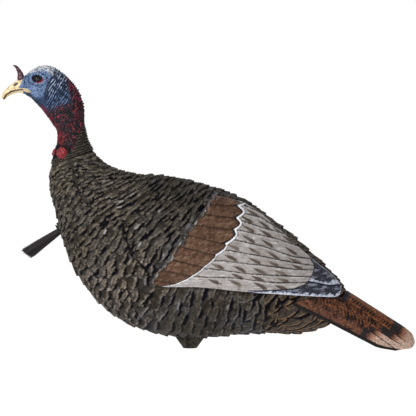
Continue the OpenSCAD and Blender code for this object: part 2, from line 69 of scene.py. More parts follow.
# The tail slopes down by TAIL_DROP from TAIL_AT. Its side flap's top edge is given in its own frame: FLAP_S
# along the tail, from the forward tip to the fan, and FLAP_H above its middle.
TAIL_DROP = math.radians(27.9642)
TAIL_AT = np.array([268.9, 76.0])
FLAP_S = np.array([-80.0, -58, -40, -22, -13, -3, 6])
FLAP_H = np.array([-27.0, -7, 1, 8, 14, 20, 21])


# ---------------- shapes
def mask(x):
    """Share of a layer, kept between 0 and 1."""
    return np.clip(x, 0, 1)


def bell(x):
    """Bell curve: 1 where x is 0."""
    return np.exp(-x ** 2)


def ease(x):
    """Smooth step from 0 to 1."""
    x = mask(x)
    return x * x * (3 - 2 * x)


def unit(v):
    return v / np.maximum(np.linalg.norm(v, axis=-1, keepdims=True), 1e-9)


def grid(n, m):
    """Shares from 0 to 1 down the rows and along the columns of an n by m grid."""
    return np.meshgrid(np.linspace(0, 1, n), np.linspace(0, 1, m), indexing="ij")


def around(rows, n):
    """Grid of the row values by n angles round a full turn."""
    return np.meshgrid(rows, 2 * np.pi * np.arange(n) / n, indexing="ij")


def inside_border(n, m, width):
    """0 on the border of an n by m grid, rising to 1 over width points."""
    i, j = np.ogrid[:n, :m]
    return mask(np.minimum(np.minimum(i, n - 1 - i), np.minimum(j, m - 1 - j)) / width)


def spline(table, u):
    """Catmull-Rom curve through the rows of table, at positions u from 0 to len - 1."""
    u = np.asarray(u, float)
    n = len(table)
    i = np.clip(np.floor(u).astype(int), 0, n - 2)
    f = (u - i)[..., None]
    a, b, c, d = table[np.maximum(i - 1, 0)], table[i], table[i + 1], table[np.minimum(i + 2, n - 1)]
    return 0.5 * (2 * b + (c - a) * f + (2 * a - 5 * b + 4 * c - d) * f ** 2 + (3 * (b - c) + d - a) * f ** 3)


def cut_chord(s):
    """Middle x and z of a cut's chord in the side view, and half its x and z from bottom to top."""
    return ((s[..., 0] + s[..., 2]) / 2, (s[..., 1] + s[..., 3]) / 2,
            (s[..., 0] - s[..., 2]) / 2, (s[..., 1] - s[..., 3]) / 2)


def cut_point(table, egg, u, t, inset=0.0):
    """Point of a cut at angle t in degrees, 90 at the top and -90 at the bottom."""
    s = spline(table, u)
    t = np.radians(t)
    cx, cz, hx, hz = cut_chord(s)
    k = (1 - inset / np.hypot(hx, hz)) * np.sin(t)
    y = (s[..., 4] - inset) * np.cos(t) * (1 - egg * np.sin(t))
    return np.stack([cx + hx * k, y, cz + hz * k], -1)


def even_rows(table, egg, inset, count):
    """Positions u that are evenly spaced along the loft, and the loft's length."""
    u = np.linspace(0, len(table) - 1, 400)
    P = cut_point(table, egg, u[:, None], np.linspace(-180, 170, 24)[None, :], inset)
    s = np.concatenate([[0], np.cumsum(np.linalg.norm(np.diff(P, axis=0), axis=-1).mean(1))])
    return np.interp(np.linspace(0, s[-1], count), s, u), s[-1]


def polyline_distance(x, z, pts):
    """Distance of side-view points to a polyline."""
    best = np.full(np.shape(x), 1e9)
    for (x0, z0), (x1, z1) in zip(pts[:-1], pts[1:]):
        dx, dz = x1 - x0, z1 - z0
        f = mask(((x - x0) * dx + (z - z0) * dz) / (dx * dx + dz * dz))
        best = np.minimum(best, np.hypot(x - x0 - f * dx, z - z0 - f * dz))
    return best


def line_z(x, pts):
    """Height of a left-to-right polyline at x; beyond its ends it runs on level."""
    p = np.array(pts, float)
    return np.interp(x, p[:, 0], p[:, 1])


def line_x(z, pts):
    """Place along x of a polyline at the height z; beyond its ends it runs on upright."""
    p = np.array(sorted(pts, key=lambda point: point[1]), float)
    return np.interp(z, p[:, 1], p[:, 0])


def box_blur(a, k, axis, wrap):
    """Mean over 2k + 1 neighbours along an axis; without wrap, the k at either end stay as they are."""
    out = sum(np.roll(a, d, axis) for d in range(-k, k + 1)) / (2 * k + 1)
    if not wrap:
        for end in (slice(0, k), slice(-k, None)):
            at = (end,) if axis == 0 else (slice(None), end)
            out[at] = a[at]
    return out


def fuzz(P, scale, seed=0.0, octaves=3):
    """Smooth noise from -1 to 1 at points P."""
    flat = (P.reshape(-1, 3) / scale + seed).tolist()
    return np.array([noise.fractal(p, 1.0, 2.0, octaves) for p in flat]).reshape(P.shape[:-1])


def cells(P, scale, seed=0.0):
    """Distances to the nearest and to the second nearest cell centre at points P."""
    near = [noise.voronoi(p)[0][:2] for p in (P.reshape(-1, 3) / scale + seed).tolist()]
    return np.moveaxis(np.array(near).reshape(P.shape[:-1] + (2,)), -1, 0)


def tone(base, *layers):
    """Colour per point: base, then (colour, share) layers over it in turn. Colours are in thousandths."""
    c = np.broadcast_to(np.array(base) / 1000, layers[0][1].shape + (3,)).copy()
    for colour, share in layers:
        m = mask(share)[..., None]
        c = c * (1 - m) + np.array(colour) / 1000 * m
    return c


class Skin:
    """A grid of points with outward normals, a relief H that stands on it, and values for its paint."""

    def __init__(self, P, wrap, axis=1):
        """wrap joins the last column to the first. At the side or the top, the normal points along axis."""
        self.P, self.wrap = P, wrap
        self.n, self.m = P.shape[:2]
        du = np.gradient(P, axis=0)
        dt = (np.roll(P, -1, 1) - np.roll(P, 1, 1)) / 2 if wrap else np.gradient(P, axis=1)
        self.N = unit(np.cross(dt, du))
        if self.N[self.n // 2, self.m // (4 if wrap else 2), axis] < 0:
            self.N *= -1
        self.D = unit(du)
        self.du, self.dt = (np.maximum(np.linalg.norm(d, axis=-1), 0.05) for d in (du, dt))
        self.H = np.full((self.n, self.m), -9.0)
        self.val = {k: np.zeros((self.n, self.m)) for k in ("rand", "across", "gap", "edge", "rim", "kind")}
        self.tips = []

    def block(self, i, j, back, ahead, side):
        """Indices of the points within these lengths of point i, j."""
        rows = np.arange(max(0, i - int(back / self.du[i, j]) - 1),
                         min(self.n, i + int(ahead / self.du[i, j]) + 2))
        k = int(side / self.dt[i, j]) + 2
        cols = np.arange(j - k, j + k + 1)
        if not self.wrap:
            cols = cols[(cols >= 0) & (cols < self.m)]
        elif len(cols) < self.m:
            cols = cols % self.m
        else:
            cols = np.arange(self.m)
        return np.ix_(rows, cols)

    def plume(self, i, j, L, W, lift, turn=0.0, rim=0.0, kind=0.0, round_tip=0.25, base=0.0):
        """Lays one plume, L long and W wide, from point i, j; where it is the highest, it shows."""
        P0, n, d = self.P[i, j], self.N[i, j], self.D[i, j]
        s = np.cross(n, d)
        d = math.cos(turn) * d + math.sin(turn) * s
        s = np.cross(n, d)
        b = self.block(i, j, 0.1 * L + 0.5 * W * abs(math.sin(turn)), 1.1 * L + 6,
                       0.75 * W + abs(math.sin(turn)) * L)
        w = self.P[b] - P0
        a, c = w @ d / L, w @ s / (W / 2)
        r, q = rng.random(), rng.random(3)
        ac = np.abs(c)
        ragged = 0.035 * np.sin(4 * c + 6.28 * q[0]) + 0.014 * np.sin(13 * c + 6.28 * q[1])
        tip = 1 - round_tip * ac ** 2.4 + (1 - 0.6 * kind) * ragged
        inside = (a > -0.05) & (a < tip) & (ac < 1) & (np.abs(w @ n) < 0.8 * W + 6)
        h = base + lift * (0.05 + 0.95 * np.clip(a, 0, 1.2) ** 1.4) - 0.06 * lift * ac ** 2
        h += (q[2] - 0.5) * 0.34 * lift
        h += lift * (0.4 * (q[0] - 0.5) * c * a + 0.05 * bell(c / 0.09))
        hit = inside & (h > self.H[b])
        edge = np.minimum((tip - a) * L, (1 - ac) * W / 2 + 0.6)
        for key, v in (("rand", r), ("across", c), ("edge", (tip - a) * L), ("kind", kind),
                       ("rim", rim * mask(1.5 - edge / 1.6))):
            self.val[key][b] = np.where(hit, v, self.val[key][b])
        self.H[b] = np.where(hit, h, self.H[b])
        self.tips.append((b, a, tip, c, h, L, q))

    def shade_gaps(self, width, depth):
        """Cuts a tapering furrow beyond part of each feather's tip, with painted shadow in it that is darker
        where the tip stands higher over it.
        """
        g = self.val["gap"]
        for b, a, tip, c, h, L, q in self.tips:
            beyond = (a - tip) * L
            along_tip = mask(np.minimum(c + 1.05 - 0.5 * q[1], 1.05 - 0.5 * q[2] - c) * 2.4)
            wide = width * (0.6 + 0.8 * q[0]) * (0.75 + 0.012 * L) * along_tip
            drop = mask((h - self.H[b] - 0.1) / 0.5)
            near = (beyond >= -0.3) & (beyond < wide)
            dark_and_shade = drop * mask(3.2 * (1 - beyond / np.maximum(wide, 0.1)))
            g[b] = np.where(near, np.maximum(g[b], dark_and_shade), g[b])
        self.H -= depth * g

    def points(self):
        return self.P + self.N * self.H[..., None]

    def height(self, k=6):
        """How high each point stands among its neighbours, 0.5 where they are level."""
        broad = box_blur(box_blur(self.H, k, 0, False), k, 1, self.wrap)
        return mask(0.5 + (self.H - broad) * 0.32)


def loft_skin(table, egg, inset, u, m):
    """Skin of a closed loft with rows at u and m columns from the bottom round, and its grids of u and t."""
    U, T = np.meshgrid(u, -90 + 360 * np.arange(m) / m, indexing="ij")
    return Skin(cut_point(table, egg, U, T, inset), True), U, T


def mesh_object(name, verts, quads, paint):
    """Smooth mesh with a colour per vertex in its attribute paint."""
    me = bpy.data.meshes.new(name)
    verts, quads = verts.reshape(-1, 3).astype(np.float32), quads.astype(np.int32)
    me.vertices.add(len(verts))
    me.vertices.foreach_set("co", (verts * MM).ravel())
    me.loops.add(quads.size)
    me.loops.foreach_set("vertex_index", quads.ravel())
    me.polygons.add(len(quads))
    me.polygons.foreach_set("loop_start", np.arange(0, quads.size, 4, dtype=np.int32))
    me.update(calc_edges=True)
    me.validate()
    rgba = np.concatenate([paint.reshape(-1, 3), np.ones((len(verts), 1))], 1).astype(np.float32)
    me.attributes.new("paint", "FLOAT_COLOR", "POINT").data.foreach_set("color", rgba.ravel())
    me.polygons.foreach_set("use_smooth", np.ones(len(me.polygons), bool))
    ob = bpy.data.objects.new(name, me)
    bpy.context.scene.collection.objects.link(ob)
    return ob


def grid_quads(n, m, closed, flip=False):
    """Faces of an n by m grid of vertices; closed joins its last column to its first."""
    i, j = np.meshgrid(np.arange(n - 1), np.arange(m if closed else m - 1), indexing="ij")
    k = (j + 1) % m
    q = np.stack([i * m + j, i * m + k, (i + 1) * m + k, (i + 1) * m + j], -1).reshape(-1, 4)
    return q[:, ::-1] if flip else q


def slab(name, outer, inner, paint, under_paint, flip=False):
    """Closed sheet: an outer grid and an inner grid of the same size, joined all round."""
    n, m = outer.shape[:2]
    size = n * m
    border = np.concatenate([np.arange(m), np.arange(2 * m - 1, size, m),
                             np.arange(size - 2, size - m - 1, -1), np.arange(size - 2 * m, 0, -m)])
    following = np.roll(border, -1)
    rim = np.stack([following, border, border + size, following + size], -1)
    quads = [grid_quads(n, m, False, flip), grid_quads(n, m, False, not flip) + size,
             rim[:, ::-1] if flip else rim]
    both = np.concatenate([paint.reshape(-1, 3), np.tile(under_paint, (size, 1))])
    return mesh_object(name, np.stack([outer, inner]), np.concatenate(quads), both)


def slab_pair(name, outer, inner, paint, under_paint, flip=False):
    """The same slab on the right side and, mirrored, on the left side."""
    return {"right": slab(name.format("right"), outer, inner, paint, under_paint, flip),
            "left": slab(name.format("left"), outer * MIRROR, inner * MIRROR, paint, under_paint, not flip)}


def shrunk(ring, share):
    """A ring of points drawn in towards its centre."""
    centre = ring.mean(0)
    return centre + (ring - centre) * share


# ---------------- body plumage
N_ROWS, N_COLS = 400, 470
u_rows, body_len = even_rows(BODY, BODY_EGG, PLUMAGE, N_ROWS)
# The second row lies close to the first, which keeps the edge of the neck opening sharp.
u_rows[1] = u_rows[0] + 0.1 * (u_rows[1] - u_rows[0])
body, U, T = loft_skin(BODY, BODY_EGG, PLUMAGE, u_rows, N_COLS)
perimeter = body.dt.sum(1)
X, Y, Z = np.moveaxis(body.P, -1, 0)


def wing_place(x, z):
    """Place of side-view points on the wing, along and across it, 0 to 1 each, and the distance to it."""
    strips = 60
    low, top = (spline(line, np.linspace(0, WING_LAST, strips)) for line in (WING_LOW, WING_TOP))
    best = [np.zeros(np.shape(x)), np.zeros(np.shape(x)), np.full(np.shape(x), 1e9)]
    for k in range(strips):
        ax, az = low[k]
        dx, dz = top[k] - low[k]
        f = ((x - ax) * dx + (z - az) * dz) / (dx * dx + dz * dz)
        d = np.hypot(x - ax - f * dx, z - az - f * dz)
        nearer = d < best[2]
        best = [np.where(nearer, new, old) for new, old in zip((k / (strips - 1), f, d), best)]
    return best


along_wing, across_wing, to_wing = wing_place(X, Z)
on_side = np.abs(np.cos(np.radians(T))) > 0.12
under_wing = on_side & (across_wing > -0.02) & (across_wing < 1.02) & (to_wing < 2.5) & (along_wing > 0.02)


def side_t(t):
    """Angle above the middle of the side, the same on both sides."""
    return t if t <= 90 else 180 - t


def grow(s, small, big):
    """Size at s along the body: small near the neck, big from the shoulders on."""
    return small + (big - small) * mask((s - 20) / 150)


def plumes(first, last, exposure, width, lift, length, keep, rim, droop, kind=0.0):
    """Rows of overlapping plumes from first to last along the body. exposure, width and lift are functions
    of the place along it; keep, rim and droop are functions of the row u and the angle t."""
    s, phase = first, 0.0
    while s < last:
        i = int(np.clip(round(s / body_len * (N_ROWS - 1)), 0, N_ROWS - 1))
        e, w = exposure(s), width(s)
        count = max(6, int(round(perimeter[i] / w)))
        phase += 0.5 + rng.uniform(-0.12, 0.12)
        arc = np.cumsum(body.dt[i])
        for k in range(count):
            share = (k + phase + rng.uniform(-0.16, 0.16)) / count
            j = int(np.searchsorted(arc, (share % 1.0) * arc[-1])) % N_COLS
            row = int(np.clip(i + rng.uniform(-0.3, 0.3) * e / body.du[i, j], 0, N_ROWS - 1))
            u, t = U[row, j], T[row, j]
            if not keep(u, t):
                continue
            stretch = np.clip(body.du[row, j] / (body_len / (N_ROWS - 1)), 0.7, 1.6)
            body.plume(row, j, length * e * stretch, w * rng.uniform(1.0, 1.45),
                       lift(s) * rng.uniform(0.7, 1.2),
                       rng.uniform(-0.12, 0.12) + droop(u, t) * np.sign(Y[row, j]),
                       rim(u, t), kind, 0.1 + 0.28 * kind, -0.3)
        s += e


body.H[:] = -0.2
# Plumes point down over the shoulders and up at the breast, and have a tan rim on the rump.
plumes(-6, body_len, lambda s: grow(s, 6.0, 12.5), lambda s: grow(s, 16.0, 30.0),
       lambda s: grow(s, 2.6, 4.2), 2.0,
       keep=lambda u, t: not (u > 8.3 and side_t(t) < 4 + 10 * (u > 12)),
       rim=lambda u, t: 0.6 * float(mask((u - 11.5) / 2.5)),
       droop=lambda u, t: -0.32 + 0.64 * float(mask((side_t(t) + 12) / 30)))
# Longer ones on the flank, and long broad ones under the tail.
plumes(body_len * 0.4, body_len * 0.74, lambda s: 16.0, lambda s: 40.0, lambda s: 4.6, 2.1,
       keep=lambda u, t: u > 7.4 and side_t(t) < 9 + 10 * (u > 12), rim=lambda u, t: 0.5,
       droop=lambda u, t: 0.0)
plumes(body_len * 0.68, body_len, lambda s: 13.0, lambda s: 46.0, lambda s: 4.6, 3.0,
       keep=lambda u, t: side_t(t) < 19, rim=lambda u, t: 1.0, droop=lambda u, t: 0.6, kind=1.0)
body.shade_gaps(5.2, 1.0)
# Two creases of the mould, down the neck's foot and down the shoulder, with painted shadow in them.
for crease in ([(-218, 355), (-209, 327), (-202, 296), (-180, 264), (-173, 258)],
               [(-117, 235), (-115, 212), (-99, 174), (-81, 156)]):
    d = polyline_distance(X, Z, crease) + 1.2 * np.sin(Z / 5.0)
    body.H -= 2.4 * bell(d / 2.4)
    body.val["gap"] = np.maximum(body.val["gap"], mask(2.5 - np.abs(d) / 1.3))
# Under the wings and the tail's flaps the plumage lies flat.
TAIL_COS, TAIL_SIN = 0.8832, 0.4689      # of TAIL_DROP, rounded
tail_s = (X - TAIL_AT[0]) * TAIL_COS - (Z - TAIL_AT[1]) * TAIL_SIN
tail_h = (X - TAIL_AT[0]) * TAIL_SIN + (Z - TAIL_AT[1]) * TAIL_COS
under_flap = (tail_s > -83) & (tail_h < np.interp(tail_s, FLAP_S, FLAP_H) + 1.5) & on_side
flat = box_blur(box_blur((under_wing | under_flap).astype(float), 2, 0, False), 2, 1, True)
body.H = body.H * (1 - flat) + np.minimum(body.H, 0.6) * flat
# Round the wing it thins out, so that the wing's front edge can dip as the wing swings out.
body.H = np.where(on_side & (to_wing < 8), np.minimum(body.H, 1.0 + 0.4 * to_wing), body.H)
# It falls to the shell at the neck and at the rump.
from_end = np.minimum(np.arange(N_ROWS), N_ROWS - 1 - np.arange(N_ROWS))[:, None]
body.H = -0.4 + (body.H + 0.4) * mask(from_end / 3.0)
# The beard's grommet and the stake keel stay clear of feathers.
BEARD_HOLE, HOLE_R, KEEL_R = (-236, 0, 211), 13.5, 19
body.H = np.where(np.linalg.norm(body.P - BEARD_HOLE, axis=-1) < HOLE_R, -0.6, body.H)
to_keel = np.hypot(np.maximum(np.abs(X) - 9, 0), Y) + 100 * (Z > 60)
body.H = np.where(to_keel < KEEL_R, np.minimum(body.H, 0.3), body.H)


def plumage_paint(skin, bluish, rump, lower, dark_and_shade, calm=0.0):
    """Dark brown-black plumage with dry-brushed tips that are also painted highlight, and painted shade in
    the hollows and gaps; each share after skin is 0 to 1 per point.
    """
    v, P = skin.val, skin.P
    streak = 0.5 + 0.5 * np.sin(v["across"] * 9 + v["rand"] * 40) * np.sin(v["across"] * 23 + v["rand"] * 90)
    patch, mottle, grit = fuzz(P, 45, 1.0, 2), fuzz(P, 7, 2.0), fuzz(P, 2.4, 3.0, 2)
    other = v["rand"] * 7 % 1
    near_tip = np.exp(-np.abs(v["edge"] - 1.0) / (1.8 + 0.8 * v["kind"]))
    second = np.exp(-np.abs(v["edge"] - 6.0 - 3 * other) / 1.1) * (other > 0.35)
    # Dry-brushed paint on the tips, lighter along the tip edges as painted highlight on the raised ridges.
    brushed_and_highlight = mask((near_tip + 0.7 * second) * np.clip(0.75 + 1.3 * mottle + 1.1 * grit, 0, 1.4))
    dab = np.sin(v["across"] * 3.1 + v["rand"] * 60) + 0.6 * patch + 0.8 * mottle
    # Sparse white flecks near the tips are painted highlight.
    highlight_flecks = near_tip * (v["rand"] * 13 % 1 > 0.72) * mask((dab - 0.55) * 3)
    sheen = 0.1 + 0.5 * brushed_and_highlight + 0.4 * near_tip * streak + 0.5 * mottle
    return tone(
        (21, 17, 13),
        ((58, 47, 33), mask(0.15 + v["rand"] * 0.7 + 0.8 * mottle + 0.3 * patch)),
        ((38, 40, 45), mask(other * 0.6 + 0.9 * patch) * 0.7),
        ((85, 52, 26), rump * v["kind"] * mask(0.3 + 0.7 * streak * v["rand"] + 0.5 * mottle) * 0.8),
        ((12, 10, 9), mask(0.1 - grit * 1.6 - 0.5 * near_tip) * 0.8),
        ((185, 155, 117), brushed_and_highlight * 0.85 * (1 - 0.4 * dark_and_shade)),
        ((340, 275, 225), brushed_and_highlight * lower * 0.7),
        ((460, 445, 440), highlight_flecks * (0.7 - 0.35 * dark_and_shade) * (1 - rump) * (1 - calm)),
        ((160, 172, 205), bluish * np.clip(sheen, 0, 0.8)),
        # Painted shade in the hollows of the relief and on the faces that turn down, and a darker upper back.
        ((12, 10, 9), mask(0.75 - skin.height() * 1.7) * 0.9 + dark_and_shade * 0.35),
        ((120, 130, 160), v["rim"] * (1 - rump) * mask(0.5 + 1.2 * patch) * 0.8),
        ((240, 128, 55), v["rim"] * rump * mask(0.7 + mottle)),
        # Painted shadow in the furrows behind the feather tips and in the mould's creases.
        ((2, 2, 4), mask(v["gap"] * 1.5)))


# Darker paint on the upper back, and painted shade on the faces that turn down.
back_share = mask((Z - 215) / 60) * mask((X + 120) / 80)
before_wing = (along_wing < 0.02) & on_side & ~under_wing & (across_wing > -0.05) & (across_wing < 1.05)
body_paint = plumage_paint(
    body, bluish=bell(to_wing / 9) * before_wing, rump=mask((X - 110) / 40),
    lower=mask((190 - Z) / 60) * mask((-30 - X) / 60), dark_and_shade=mask(back_share + 1.1 * mask(-body.N[..., 2])),
    calm=0.9 * mask(np.maximum((Z - 270) / 40, (-150 - X) / 30)))
body_points, half = body.points(), N_COLS // 2
halves = {"plumage_right": np.arange(half + 1), "plumage_left": np.arange(half, N_COLS + 1) % N_COLS}
plumage = [mesh_object(name, body_points[:, cols], grid_quads(N_ROWS, len(cols), False, True),
                       body_paint[:, cols]) for name, cols in halves.items()]

# ---------------- the side view laid on the body
BODY_LAST = len(BODY) - 1


def over_body(x, z, rise):
    """Points that stand out by rise over the body's side at side-view points, on the +Y side."""
    lo, hi = np.zeros(np.shape(x)), np.full(np.shape(x), float(BODY_LAST))
    for _ in range(18):
        mid = (lo + hi) / 2
        s = spline(BODY, mid)
        ahead = (s[..., 0] - s[..., 2]) * (z - s[..., 3]) - (s[..., 1] - s[..., 3]) * (x - s[..., 2]) < 0
        lo, hi = np.where(ahead, mid, lo), np.where(ahead, hi, mid)
    u = (lo + hi) / 2
    cx, cz, hx, hz = cut_chord(spline(BODY, u))
    h = np.hypot(hx, hz)
    t = np.degrees(np.arcsin(np.clip(((x - cx) * hx + (z - cz) * hz) / ((h - PLUMAGE) * h), -0.985, 0.985)))
    w = np.minimum(u, BODY_LAST - 0.05)
    point = lambda a, b: cut_point(BODY, BODY_EGG, a, b, PLUMAGE)
    n = unit(np.cross(point(w, t + 1) - point(w, t - 1), point(w + 0.05, t) - point(w - 0.05, t)))
    return point(u, t) + np.asarray(rise)[..., None] * n


def between(x, z, lines):
    """Which pair of stacked lines a point lies between, how far down between them from 0 to 1, and its
    distances to the upper and to the lower line."""
    zs = np.stack([line_z(x, p) for p in lines])
    k = (zs > z).sum(0)
    top = np.take_along_axis(zs, np.clip(k - 1, 0, len(lines) - 1)[None], 0)[0]
    bottom = np.take_along_axis(zs, np.clip(k, 0, len(lines) - 1)[None], 0)[0]
    top = np.where(k == 0, bottom + 14, top)
    bottom = np.where(k == len(lines), top - 12, bottom)
    return k, mask((top - z) / np.maximum(top - bottom, 1.0)), top - z, z - bottom


# ---------------- wings
# Side-view lines of the folded wing. BAR is the white bar between the brown coverts and the pale secondaries.
BAR = [(95, 262), (91, 242), (86, 221), (81, 208), (66, 190), (47, 173), (28, 156), (6, 140), (-21, 127),
       (-48, 122)]
COVERT_LINES = [
    [(45, 276), (90, 264)], [(38, 258), (82, 254.5)], [(27, 242.5), (79, 235)], [(15, 224.5), (75, 216)],
    [(3, 207.5), (65.5, 192)], [(-15, 190), (47.5, 174)], [(-38, 170), (28, 154.5)],
    [(-54, 152.5), (6.5, 140)], [(-68, 135.5), (-21, 127)]]
FEATHER_LINES = [
    [(93, 256), (122, 243), (140, 229), (151, 222)], [(91, 243), (122, 235), (172, 204)],
    [(90, 230.5), (127, 217), (170, 204)], [(86, 215), (151, 198), (197, 181)],
    [(79, 199), (127, 187), (180, 166.5), (208, 161.5)], [(69, 182), (127, 170), (187, 155.5), (215, 149.5)],
    [(55, 165.5), (127, 155.5), (187, 145), (216, 142.5)], [(38, 152), (115, 141), (187, 134), (211, 131.5)],
    [(11, 139), (79, 136), (151, 125.5), (199, 123)]]
REAR = [(151, 224), (172, 206), (199, 181), (209, 167), (216, 154), (218, 148), (216, 140), (211, 131),
        (201, 121)]
WING_FOOT = [(85, 100), (104, 115.5), (127, 115), (182, 115.5), (201, 121)]
PRIMARY_SPLIT = [(100, 111), (170, 117), (205, 126), (225, 121), (245, 115), (270, 114)]
WING_LENGTH, WING_GAP, WING_ROOT_T, WING_TIP_T, FRONT_RELIEF, FRONT_SHARE = 340, 2.5, 6.0, 3.5, 3.5, 0.1
LAP_PLUMES = 15

N_WU, N_WV = 330, 148
wing_u, wing_v = grid(N_WU, N_WV)
low, high = spline(WING_LOW, wing_u * WING_LAST), spline(WING_TOP, wing_u * WING_LAST)
WX, WZ = np.moveaxis(low + (high - low) * wing_v[..., None], -1, 0)
at_front = mask(1 - wing_u / FRONT_SHARE)
under = WING_GAP + FRONT_RELIEF * at_front
over = (WING_ROOT_T + (WING_TIP_T - WING_ROOT_T) * wing_u) * (0.55 + 0.45 * np.sin(np.pi * wing_v))
over = np.maximum(WING_GAP + over + at_front, under + 1.5)
covert_k, covert_f, covert_top, covert_low = between(WX, WZ, COVERT_LINES)
plume_k, plume_f, plume_top, plume_low = between(WX, WZ, FEATHER_LINES)
# The bar bulges rearwards in the middle of each covert, most in the upper ones.
crescent = np.sin(np.pi * covert_f)
bulge = np.clip(12.0 - 1.6 * covert_k, 2.0, 10.0) * (crescent - 0.6)
past_bar = WX - line_x(WZ, BAR) - np.where(covert_k > 8, 0, bulge)
bar_turn = np.hypot(1.0, np.clip(np.gradient(past_bar - WX, axis=1) / np.gradient(WZ, axis=1), -2.6, 2.6))
in_bar = past_bar / bar_turn
bold = mask(5.5 - covert_k)
# Body feathers lap over the wing's front in a ragged line.
lap = Skin(over_body(WX, WZ, over), False)
lap.H[:] = -1.0
for k in range(LAP_PLUMES):
    lap.plume(0, int((k + rng.uniform(0.2, 0.8)) / LAP_PLUMES * N_WV), rng.uniform(4, 9),
              rng.uniform(13, 19), 1.2, rng.uniform(-0.2, 0.5), rim=0.4, round_tip=0.45)
lapped = mask((lap.H + 0.9) * 4)
lap.shade_gaps(3.0, 0.5)
lap.H = np.maximum(lap.H, 0.0)
is_covert = (past_bar < 0) | (lapped > 0.5)
past_rear = np.maximum(WX - line_x(np.clip(WZ, 121, 224), REAR), line_z(WX, WING_FOOT) - WZ)
is_secondary = (~is_covert) & (past_rear < 0)
W3 = np.stack([WX, WZ, np.zeros_like(WX)], -1)
n_small, n_big, n_fine = fuzz(W3, 5, 3.1), fuzz(W3, 24, 7.7), fuzz(W3, 2.2, 1.3)
barb = np.sin(WX * 1.9 + WZ * 3.4) * 0.5 + 0.5
crack = mask(1 - np.abs(fuzz(W3 * np.array([0.6, 1.4, 1]), 7, 5.5)) * 9)
shaft_c = mask(1 - np.abs(covert_f - 0.45) * np.maximum(covert_top + covert_low, 6) / 0.9)
edge_c = mask(1.4 - np.minimum(covert_low, 99) / (1.0 + 0.8 * mask(n_big + 0.2))) * (covert_k < 9)
covert_h = 1.3 * covert_f - 0.35 * shaft_c - 0.4 * crack + 0.3 * n_small - 0.9 * edge_c
covert_h = covert_h * (1 - lapped) + lapped * (0.9 + lap.H)
hairs = np.stack([WX * 0.8 + WZ * 0.9, WZ * 0.8 - WX * 0.5, WX * 0], -1) * np.array([0.45, 1.8, 1])
hairs = fuzz(hairs, 3.4, 6.6)
covert_paint = tone(
    (88, 44, 26),
    # Lighter mottle, a little lighter towards each covert's raised lower edge as painted light.
    ((150, 86, 54), mask(0.45 + 1.1 * n_small + 0.3 * (covert_f - 0.5)) * 0.8),
    ((230, 155, 110), mask(1.8 * hairs - 0.3) * 0.8),
    ((42, 22, 15), mask(0.2 - n_big) * 0.6 + crack * 0.65 + mask(-1.8 * hairs - 0.35) * 0.7),
    # Painted shade just below the edge of the covert above.
    ((36, 19, 13), mask(1.0 - covert_top / 3.5) * (covert_k > 0) * 0.7),
    ((8, 6, 6), edge_c * 0.97),
    ((8, 7, 9), mask((in_bar + 3.6 + 3.2 * bold + 0.9 * n_small) / 1.2)),
    ((780, 790, 820), mask((in_bar + 1.9 + 1.5 * bold) / 0.5)),
    # Painted shadow of the lapping body feathers on the coverts round them.
    ((6, 6, 8), box_blur(lapped, 2, 0, False) * (1 - lapped) * 2.4))
blank = np.zeros_like(WX)
covert_paint += (plumage_paint(lap, blank + 0.22, blank, blank, blank) - covert_paint) * lapped[..., None]
# Secondaries: pale feathers with slanted brown blotches, and painted shade and shadow along each feather's
# lower edge.
# A dark line along each feather's lower edge: painted shadow where it overlaps the next.
gap_s = mask(1.7 - (plume_low + 1.1 * n_small) / (0.9 + 0.9 * mask(n_big + 0.3))) * (plume_k < 9)
# Each feather's blotches: place of the first along the wing, spacing and count.
BLOTCHES = {1: (112, 33, 2), 2: (100, 28, 3), 3: (100, 35, 3), 4: (99, 38, 3), 5: (76, 35, 4), 6: (74, 37, 4),
            7: (50, 36, 4), 8: (81, 40, 3), 9: (41, 40, 4)}
blotch = np.zeros_like(WX)
mid_z = (plume_f - 0.56) * np.maximum(plume_top + plume_low, 5)
for k, (first, step, count) in BLOTCHES.items():
    for m in range(count):
        x0 = first + step * m + 3 * math.sin(5 * k + 3 * m)
        a, c = (WX - x0) * 0.95 + mid_z * 0.31, (WX - x0) * -0.31 + mid_z * 0.95
        spot = 1.45 - np.hypot(a / 9.5, c / np.clip(2.3 + 0.1 * a, 1.0, 3.6)) + 0.35 * n_small
        blotch = np.maximum(blotch, mask(spot * 2.2) * (plume_k == k))
long_streak = fuzz(W3 * np.array([0.22, 1.7, 1]), 3.2, 4.8)
sec_paint = tone(
    (330, 300, 292),
    ((160, 138, 125), mask(-1.9 * long_streak - 0.25) * 0.75),
    ((660, 650, 660), mask(1.9 * long_streak - 0.4) * 0.8),
    ((480, 460, 460), mask(0.25 + 0.9 * n_small) * 0.6),
    ((235, 200, 180), mask(n_fine * 0.9) * 0.9),
    ((66, 46, 33), blotch * 0.95),
    ((260, 220, 190), mask((n_big - 0.1) * 1.5) * 0.5),
    # Painted shade along each feather's lower edge, then the painted shadow line in its gap.
    ((130, 105, 90), mask(1.3 - plume_low / 2.6) * (plume_k < 9) * 0.85),
    ((620, 610, 620), mask(1.2 - plume_top / 2.2) * mask(0.3 + n_fine) * (plume_k > 0)),
    ((12, 10, 10), gap_s),
    # Painted shadow of the coverts' edge on the secondaries along the bar.
    ((20, 18, 19), mask(0.9 - past_bar / 1.8)))
sec_h = 1.7 * plume_f - 0.6 * gap_s - 0.2 * blotch + 0.16 * n_small + 0.08 * barb
